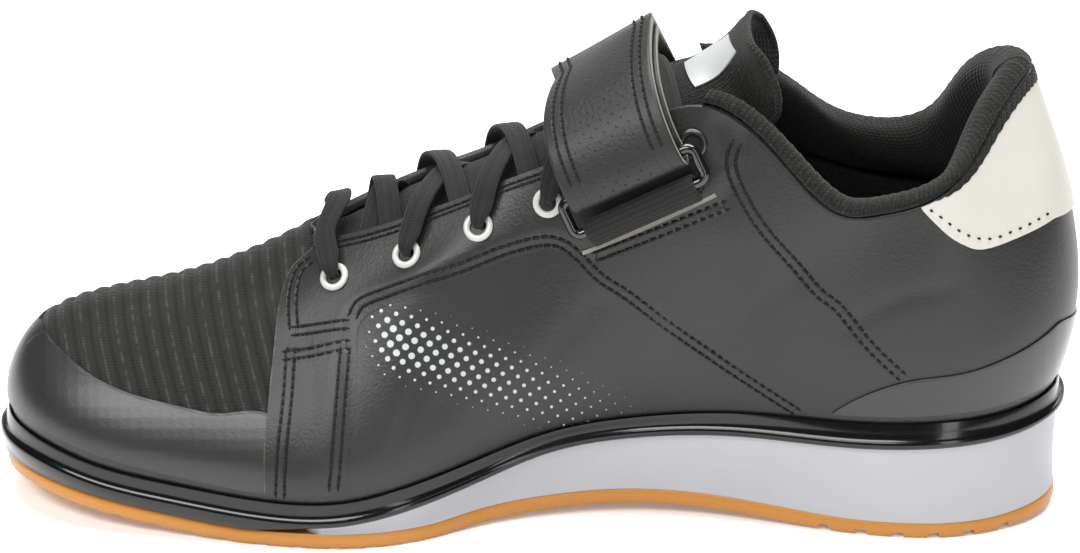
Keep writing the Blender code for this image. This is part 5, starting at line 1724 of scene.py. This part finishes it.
def inner_path(hand, x_start, x_end, lift):
    """From inside one edge of the throat across to inside the other, below both."""
    start = face(edge_share(hand, x_start), TOP_ROW)[0] + np.array([0, 1.5 * hand, -3.4])
    other = face(edge_share(-hand, x_end), TOP_ROW)[0] + np.array([0, -1.5 * hand, -3.4])
    middle = (start + other) / 2 + np.array([0, 0, lift + 3.8])
    return np.array([start, middle, other]), np.array([[0, 0, 1.0]] * 3)


def lace_piece_data(points, up, pinched):
    """A lace strand's rings and UVs. Pinched ends go down into their eyelets."""
    count = 72
    at = np.linspace(0, 1, count)
    path = open_spline(points, at)
    ups = unit(open_spline(up + np.arange(len(up))[:, None] * 1e-4, at))
    run = run_along(path)
    widths = np.ones(count)
    if pinched[0]:
        widths = np.minimum(widths, 0.42 + 0.58 * smooth(run / 9.0))
    if pinched[1]:
        widths = np.minimum(widths, 0.42 + 0.58 * smooth((run[-1] - run) / 9.0))
    sides = 16
    rings = tube_sections(path, LACE_WIDTH / 2, sides, 0.8 * LACE_THICK / LACE_WIDTH, ups, widths=widths)
    around = np.arange(sides) / sides * LACE_WIDTH * 2.2
    return rings, grid_uv(run, around)


def into_hole(points, up, spot):
    """Starts a strand down in its eyelet's hole."""
    _, _, p, normal, _ = spot
    toward = unit(points[1] - points[0])
    first = p + normal * (GAP + OVERLAY - 0.9)
    second = p + normal * (LACE_OVER - 0.35) + toward * 0.9
    ups = np.vstack([[up[0] - toward * 0.9, up[0] - toward * 0.3], up[1:]])
    return np.vstack([[first, second], points[1:]]), ups


def build_laces():
    jobs = []
    bar_points, bar_up = [], []
    for hand in (-1, 1):
        x = SPOTS[hand][0][2][0]
        points, up = lace_path(SPOTS[hand][0], hand, x - 8.0, 0.0)
        points, up = into_hole(points[:3], up[:3], SPOTS[hand][0])
        bar_points.append(points)
        bar_up.append(up)
    middle = (bar_points[0][-1] + bar_points[1][-1]) / 2 + np.array([3.0, 0, BAR_LIFT - 1.0])
    jobs.append(("lace_bar", [(
        np.vstack([bar_points[0], middle, bar_points[1][::-1]]),
        np.vstack([bar_up[0], [0, 0, 1.0], bar_up[1][::-1]]), (True, True),
    )]))
    for n in range(len(EYELETS) - 1):
        strands = []
        for hand, lift in ((-1, 2.0 + 0.9 * n), (1, 4.4 + 0.9 * n)):
            x_end = SPOTS[-hand][n + 1][2][0] - 5.0
            if n == 0:
                points, up = inner_path(hand, SPOTS[hand][0][2][0] + 8.0, x_end, lift + 4.0)
                strands.append((points, up, (False, False)))
            else:
                points, up = lace_path(SPOTS[hand][n], hand, x_end, lift)
                points, up = into_hole(points, up, SPOTS[hand][n])
                strands.append((points, up, (True, False)))
        jobs.append((f"lace_cross_{n + 1}", strands))
    for name, strands in jobs:
        all_points, faces, flats = [], [], []
        for points, up, pinched in strands:
            rings, flat = lace_piece_data(points, up, pinched)
            deep, count = rings.shape[:2]
            first = sum(len(a) for a in all_points)
            faces += loft_faces(deep, count, first)
            all_points.append(rings.reshape(-1, 3))
            flats.append(flat.reshape(-1, 2))
        made = mesh_piece(name + "_tape", np.vstack(all_points), faces, [paint("lace_tape")])
        give_uv(made, np.vstack(flats))
        settle(made, "lace_textile", name)


def line_object(name, lines, normals):
    """A scratch object of open lines with a direction stored on each point, for a geometry tree."""
    mesh = bpy.data.meshes.new(name)
    points, edges = [], []
    for line in lines:
        first = len(points)
        points += [tuple(p) for p in metres(line)]
        edges += [(first + i, first + i + 1) for i in range(len(line) - 1)]
    mesh.from_pydata(points, edges, [])
    made = bpy.data.objects.new(name, mesh)
    bpy.context.scene.collection.objects.link(made)
    layer = mesh.attributes.new("out", "FLOAT_VECTOR", "POINT")
    layer.data.foreach_set("vector", np.vstack(normals).astype(np.float32).ravel())
    return made


def stitch_tree():
    """Geometry nodes that lay one thread stitch after another along lines."""
    tree, node, start = new_tree("stitch_row", ("Pitch", "Length", "Thickness"))
    curve = node("GeometryNodeMeshToCurve", start["Geometry"])
    row = node("GeometryNodeResampleCurve", {"Curve": curve, "Length": start["Pitch"]}, mode="LENGTH")
    tangent = node("GeometryNodeInputTangent")
    out = node("GeometryNodeInputNamedAttribute", {"Name": "out"}, data_type="FLOAT_VECTOR")
    turn = node("FunctionNodeAlignEulerToVector", {"Vector": tangent}, axis="X")
    turn = node("FunctionNodeAlignEulerToVector", {"Rotation": turn, "Vector": out}, axis="Z", pivot_axis="X")
    ball = node("GeometryNodeMeshUVSphere", {"Segments": 8, "Rings": 6, "Radius": 0.5})
    size = node("ShaderNodeCombineXYZ", start["Length"], start["Thickness"], start["Thickness"])
    shaped = node("GeometryNodeTransform", {"Geometry": ball, "Scale": size})
    stitches = node("GeometryNodeInstanceOnPoints", {"Points": row, "Instance": shaped, "Rotation": turn})
    close_tree(node, start, stitches)
    return tree


def stitch_piece(name, lines, normals, slot="lace_textile"):
    """Thread stitches along lines, and near-black marks between them half a pitch on, as painted shade of the
    needle holes.
    """
    tree = bpy.data.node_groups.get("stitch_row") or stitch_tree()
    pitch = sizes().stitch_pitch
    shifted, turned = [], []
    for line, out in zip(lines, normals):
        run = run_along(line)
        wanted = np.arange(pitch * 500, run[-1], 1.2)
        shifted.append(np.column_stack([np.interp(wanted, run, line[:, k]) for k in range(3)]))
        turned.append(np.column_stack([np.interp(wanted, run, out[:, k]) for k in range(3)]))
    for label, where, ways, long, thick, material in (
        ("", lines, normals, 0.00175, 0.00058, "thread"),
        ("_holes", shifted, turned, 0.0010, 0.00085, "needle_hole"),
    ):
        made = line_object(name + label, where, ways)
        run_nodes(made, tree, Pitch=pitch, Length=long, Thickness=thick, Material=paint(material))
        settle(made, slot)


def lifted(line):
    """Points of a line on the dressed surface of the medial side, with outward normals."""
    points, normals = [], []
    for p in line:
        hit, _, index, _ = SKIN_TREE.find_nearest(Vector(p))
        c, r = divmod(index, len(ROWS) - 1)
        normal = unit(NORMAL[c, r] + NORMAL[c + 1, r + 1])
        points.append(np.array(hit) + normal * (SURFACE_LIFT[c, r] + 0.12))
        normals.append(normal)
    return np.array(points), np.array(normals)


def on_surface(line):
    """A line moved onto the dressed surface, anywhere round the shoe."""
    moved = []
    for p in line:
        hit, _, index, _ = WHOLE_TREE.find_nearest(Vector(p))
        c, r = divmod(index, len(ROWS) - 1)
        d = (c + 1) % FINE
        lift = max(SURFACE_LIFT[c, r], SURFACE_LIFT[d, r + 1], SURFACE_LIFT[c, r + 1], SURFACE_LIFT[d, r])
        moved.append(np.array(hit) + unit(NORMAL[c, r] + NORMAL[d, r + 1]) * (lift + 0.1))
    return np.array(moved)


def both_sides(line):
    """A line on the medial skin and its mirrored line on the lateral skin, at the same columns and rows."""
    found = [lifted(line)]
    points, normals = [], []
    for p in line:
        _, _, index, _ = SKIN_TREE.find_nearest(Vector(p))
        c, r = divmod(index, len(ROWS) - 1)
        a, b = SKIN[c, r], SKIN[c + 1, r]
        s = float(np.clip((p - a) @ (b - a) / max((b - a) @ (b - a), 1e-9), 0, 1))
        e = SKIN[c, r + 1] - a
        t = float(np.clip((p - a) @ e / max(e @ e, 1e-9), 0, 1))
        row = ROWS[r] + t * (ROWS[r + 1] - ROWS[r])
        point, normal, _ = face(1 - (c + s) / FINE, row)
        points.append(point + normal * (SURFACE_LIFT[(FINE - c) % FINE, r] + 0.12))
        normals.append(normal)
    found.append((np.array(points), np.array(normals)))
    return found


def build_stitches():
    lines, normals = [], []
    for line in SEAM_LINES.values():
        for points, out in both_sides(line):
            points = even(points, max(len(points), 8))
            out = unit(even(out + np.arange(len(out))[:, None] * 1e-5, len(points)))
            side = unit(np.cross(out, np.gradient(points, axis=0)))
            for hand in (-SEAM_HALF, SEAM_HALF):
                lines.append(on_surface(points + side * hand))
                normals.append(out)
    for hand in (-1, 1):
        shares = np.linspace(0.5 + hand * 7 / CAD_COLUMNS, edge_share(hand, x_at(BORDER_ENDS)), 160)
        for reach in (EDGE_SEAM - EDGE_SEAM_HALF, EDGE_SEAM + EDGE_SEAM_HALF):
            points, out = [], []
            for share in shares:
                c = int(share * FINE) % FINE
                r = int(np.argmin(np.abs(_reach[c] - reach)))
                below = face(share, ROWS[r])
                points.append(below[0] + below[1] * (SURFACE_LIFT[c, r] + 0.12))
                out.append(below[1])
            points = np.array(points)
            points[1:-1] = (points[:-2] + points[1:-1] * 2 + points[2:]) / 4
            lines.append(points)
            normals.append(np.array(out))
    stitch_piece("quarter_stitches", lines, normals)
    # The patch's row is near-black marks only: painted shade of its stitch holes
    rows, ways = zip(*both_sides(on_skin(refined(PATCH_ROW))))
    made = line_object("patch_stitches", rows, ways)
    values = dict(Pitch=0.0031, Length=0.0011, Thickness=0.0007, Material=paint("needle_hole"))
    run_nodes(made, bpy.data.node_groups["stitch_row"], **values)
    settle(made, "lace_textile")


def ring_tree():
    """Geometry nodes that set one turned ring on each point."""
    tree, node, start = new_tree("eyelet_set", ("Outer", "Inner", "Depth"))
    outer, inner = start["Outer"], start["Inner"]
    middle = node("MULTIPLY", node("ADD", outer, inner), 0.5)
    half = node("MULTIPLY", node("SUBTRACT", outer, inner), 0.5)
    curves = []
    for resolution, scale in ((40, (middle, middle, 1.0)), (12, (half, start["Depth"], 1.0))):
        circle = node("GeometryNodeCurvePrimitiveCircle", {"Resolution": resolution, "Radius": 1.0})
        size = node("ShaderNodeCombineXYZ", *scale)
        curves.append(node("GeometryNodeTransform", {"Geometry": circle, "Scale": size}))
    swept = node("GeometryNodeCurveToMesh", {"Curve": curves[0], "Profile Curve": curves[1]})
    out = node("GeometryNodeInputNamedAttribute", {"Name": "out"}, data_type="FLOAT_VECTOR")
    turn = node("FunctionNodeAlignEulerToVector", {"Vector": out}, axis="Z")
    values = {"Points": start["Geometry"], "Instance": swept, "Rotation": turn}
    close_tree(node, start, node("GeometryNodeInstanceOnPoints", values))
    return tree


def build_eyelets():
    tree = ring_tree()
    # The top pair takes the dark copy of the lacquer: painted shade for rings that sit in shadow
    kinds = (("eyelets", range(5), "eyelet_lacquer"), ("top_eyelets", (5,), "eyelet_black"))
    for name, numbers, lacquer in kinds:
        points, normals, nodes = [], [], []
        for hand, side in ((-1, "medial"), (1, "lateral")):
            for n in numbers:
                p, normal = SPOTS[hand][n][2:4]
                points.append(p + normal * (GAP + OVERLAY + 0.45))
                normals.append(normal)
                nodes.append(f"eyelet_{side}_{n + 1}")
        made = line_object(name, [np.array(points)], [np.array(normals)])
        radii = dict(Outer=EYELET_OUTER / 1000, Inner=EYELET_INNER / 1000)
        run_nodes(made, tree, Depth=0.00085, Material=paint(lacquer), **radii)
        fix_out(made)
        settle(made, "eyelet_metal", *nodes)


def build_slit():
    line = refined(SLIT_LINE)
    points, normals = lifted(on_skin(line))
    side = unit(np.cross(normals, np.gradient(points, axis=0)))
    top, low = [
        np.stack([points + side * w + normals * up for w in (-0.55, -0.3, 0.3, 0.55)], axis=1)
        for up in (0.35, -0.3)
    ]
    made = sheet_piece("slit_edge_cut", top, low, paint("slit_edge_cut"), "slit_raw_edge")
    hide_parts("slit_edge")


def build_stage():
    scene = bpy.context.scene
    camera = bpy.data.cameras.new("photo_camera")
    camera.lens = CAMERA_FOCAL / PHOTO_SIZE[0] * 36.0
    camera.sensor_width = 36.0
    camera.clip_start, camera.clip_end = 0.05, 20.0
    eye = bpy.data.objects.new("photo_camera", camera)
    scene.collection.objects.link(eye)
    target = metres(CAMERA_TARGET)
    eye.location = Vector(target + BACK * CAMERA_AWAY / 1000)
    eye.rotation_euler = Vector(BACK).to_track_quat("Z", "Y").to_euler()
    scene.camera = eye
    scene.view_settings.view_transform = "Standard"
    # A sheet of pale paper that curves up behind
    width, depth, rise, bend = 3.0, 1.4, 2.2, 0.5
    rows = [(-2.0, 0.0), (-1.0, 0.0), (0.0, 0.0), (depth, 0.0)]
    rows += [(depth + bend * sin(a), bend * (1 - cos(a))) for a in np.linspace(0.1, pi / 2, 14)]
    rows.append((depth + bend, rise))
    points = [(side * width * 1000, y * 1000, z * 1000) for y, z in rows for side in (-1, 1)]
    points = np.array(points) - SHIFT
    faces = [(2 * i, 2 * i + 1, 2 * i + 3, 2 * i + 2) for i in range(len(rows) - 1)]
    mesh = bpy.data.meshes.new("studio_floor")
    mesh.from_pydata([tuple(p) for p in metres(points)], [], faces)
    mesh.materials.append(paint("studio_paper"))
    floor = bpy.data.objects.new("studio_floor", mesh)
    scene.collection.objects.link(floor)
    mesh.polygons.foreach_set("use_smooth", np.ones(len(mesh.polygons), bool))
    world = bpy.data.worlds.new("studio_air")
    world.use_nodes = True
    sky = world.node_tree.nodes["Background"]
    sky.inputs["Color"].default_value = (1.0, 1.0, 1.0, 1.0)
    sky.inputs["Strength"].default_value = 0.16
    scene.world = world
    lights = (
        ("key_softbox", (-0.50, -0.80, 0.95), 13.0, 1.0, 0.35),
        ("top_softbox", (0.05, 0.10, 1.25), 27.0, 1.2, 0.6),
        ("back_strip", (0.5, 0.9, 0.7), 7.0, 1.0, 0.3),
        ("front_strip", (0.55, -1.1, 0.45), 3.0, 0.25, 0.9),
    )
    for name, place, power, wide, tall in lights:
        lamp = bpy.data.lights.new(name, "AREA")
        lamp.shape = "RECTANGLE"
        lamp.size, lamp.size_y = wide, tall
        lamp.energy = power
        made = bpy.data.objects.new(name, lamp)
        scene.collection.objects.link(made)
        made.location = place
        made.rotation_euler = (Vector(place) - Vector((0, 0, 0.05))).to_track_quat("Z", "Y").to_euler()


class SHOE_OT_stage(bpy.types.Operator):
    """Sets the camera, the soft lights and the pale paper"""

    bl_idname = "shoe.stage"
    bl_label = "Stage"
    bl_options = {"REGISTER", "UNDO"}

    def execute(self, context):
        build_stage()
        return {"FINISHED"}


class SHOE_OT_upper(bpy.types.Operator):
    """Dresses the hollow upper in leather and lining"""

    bl_idname = "shoe.upper"
    bl_label = "Upper"
    bl_options = {"REGISTER", "UNDO"}

    def execute(self, context):
        build_upper()
        return {"FINISHED"}


class SHOE_OT_vamp(bpy.types.Operator):
    """Lays the ribbed knit over the toe box"""

    bl_idname = "shoe.vamp"
    bl_label = "Vamp"
    bl_options = {"REGISTER", "UNDO"}

    def execute(self, context):
        build_vamp()
        return {"FINISHED"}


class SHOE_OT_overlays(bpy.types.Operator):
    """Cuts the toe guard, the heel counter, the heel patch and the eyestays"""

    bl_idname = "shoe.overlays"
    bl_label = "Overlays"
    bl_options = {"REGISTER", "UNDO"}

    def execute(self, context):
        build_overlays()
        return {"FINISHED"}


class SHOE_OT_slit(bpy.types.Operator):
    """Edges the slit that the ring's loop comes through"""

    bl_idname = "shoe.slit"
    bl_label = "Slit"
    bl_options = {"REGISTER", "UNDO"}

    def execute(self, context):
        build_slit()
        return {"FINISHED"}


class SHOE_OT_rim(bpy.types.Operator):
    """Moulds the glossy rim round the foot of the upper"""

    bl_idname = "shoe.rim"
    bl_label = "Rim"
    bl_options = {"REGISTER", "UNDO"}

    def execute(self, context):
        build_rim()
        return {"FINISHED"}


class SHOE_OT_sole(bpy.types.Operator):
    """Makes the wedge, the gum outsole and the insole"""

    bl_idname = "shoe.sole"
    bl_label = "Sole"
    bl_options = {"REGISTER", "UNDO"}

    def execute(self, context):
        build_midsole()
        build_outsole()
        build_insole()
        return {"FINISHED"}


class SHOE_OT_collar(bpy.types.Operator):
    """Pads and binds the ankle opening"""

    bl_idname = "shoe.collar"
    bl_label = "Collar"
    bl_options = {"REGISTER", "UNDO"}

    def execute(self, context):
        build_collar()
        return {"FINISHED"}


class SHOE_OT_tongue(bpy.types.Operator):
    """Pads the tongue with its piping and plain label"""

    bl_idname = "shoe.tongue"
    bl_label = "Tongue"
    bl_options = {"REGISTER", "UNDO"}

    def execute(self, context):
        build_tongue()
        return {"FINISHED"}


class SHOE_OT_strap(bpy.types.Operator):
    """Folds the strap through its wire ring and webbing loop"""

    bl_idname = "shoe.strap"
    bl_label = "Strap"
    bl_options = {"REGISTER", "UNDO"}

    def execute(self, context):
        build_strap()
        return {"FINISHED"}


class SHOE_OT_eyelets(bpy.types.Operator):
    """Sets the twelve eyelets: ten lacquered, and the top pair in a dark copy of the lacquer as painted shade
    """

    bl_idname = "shoe.eyelets"
    bl_label = "Eyelets"
    bl_options = {"REGISTER", "UNDO"}

    def execute(self, context):
        build_eyelets()
        return {"FINISHED"}


class SHOE_OT_laces(bpy.types.Operator):
    """Runs the flat laces through the eyelets"""

    bl_idname = "shoe.laces"
    bl_label = "Laces"
    bl_options = {"REGISTER", "UNDO"}

    def execute(self, context):
        build_laces()
        return {"FINISHED"}


class SHOE_OT_stitches(bpy.types.Operator):
    """Sews the double rows of the seams"""

    bl_idname = "shoe.stitches"
    bl_label = "Stitches"
    bl_options = {"REGISTER", "UNDO"}

    def execute(self, context):
        build_stitches()
        return {"FINISHED"}


STEPS = (
    SHOE_OT_stage,
    SHOE_OT_upper,
    SHOE_OT_vamp,
    SHOE_OT_overlays,
    SHOE_OT_slit,
    SHOE_OT_rim,
    SHOE_OT_sole,
    SHOE_OT_collar,
    SHOE_OT_tongue,
    SHOE_OT_strap,
    SHOE_OT_eyelets,
    SHOE_OT_laces,
    SHOE_OT_stitches,
)


class SHOE_PT_panel(bpy.types.Panel):
    """The shoe's steps, sizes and colours in the sidebar."""

    bl_idname = "SHOE_PT_panel"
    bl_label = "Weightlifting shoe"
    bl_space_type = "VIEW_3D"
    bl_region_type = "UI"
    bl_category = "Shoe"

    def draw(self, context):
        for step in STEPS:
            self.layout.operator(step.bl_idname)
        for group in (context.scene.shoe_sizes, context.scene.shoe_colours):
            for name in group.bl_rna.properties.keys():
                if name not in ("rna_type", "name"):
                    self.layout.prop(group, name)


CLASSES = (ShoeSizes, ShoeColours, *STEPS, SHOE_PT_panel)


def register():
    for kind in CLASSES:
        bpy.utils.register_class(kind)
    bpy.types.Scene.shoe_sizes = PointerProperty(type=ShoeSizes)
    bpy.types.Scene.shoe_colours = PointerProperty(type=ShoeColours)


def unregister():
    del bpy.types.Scene.shoe_colours
    del bpy.types.Scene.shoe_sizes
    for kind in reversed(CLASSES):
        bpy.utils.unregister_class(kind)


def main():
    register()
    for step in STEPS:
        space, name = step.bl_idname.split(".")
        getattr(getattr(bpy.ops, space), name)()


if __name__ == "__main__":
    main()
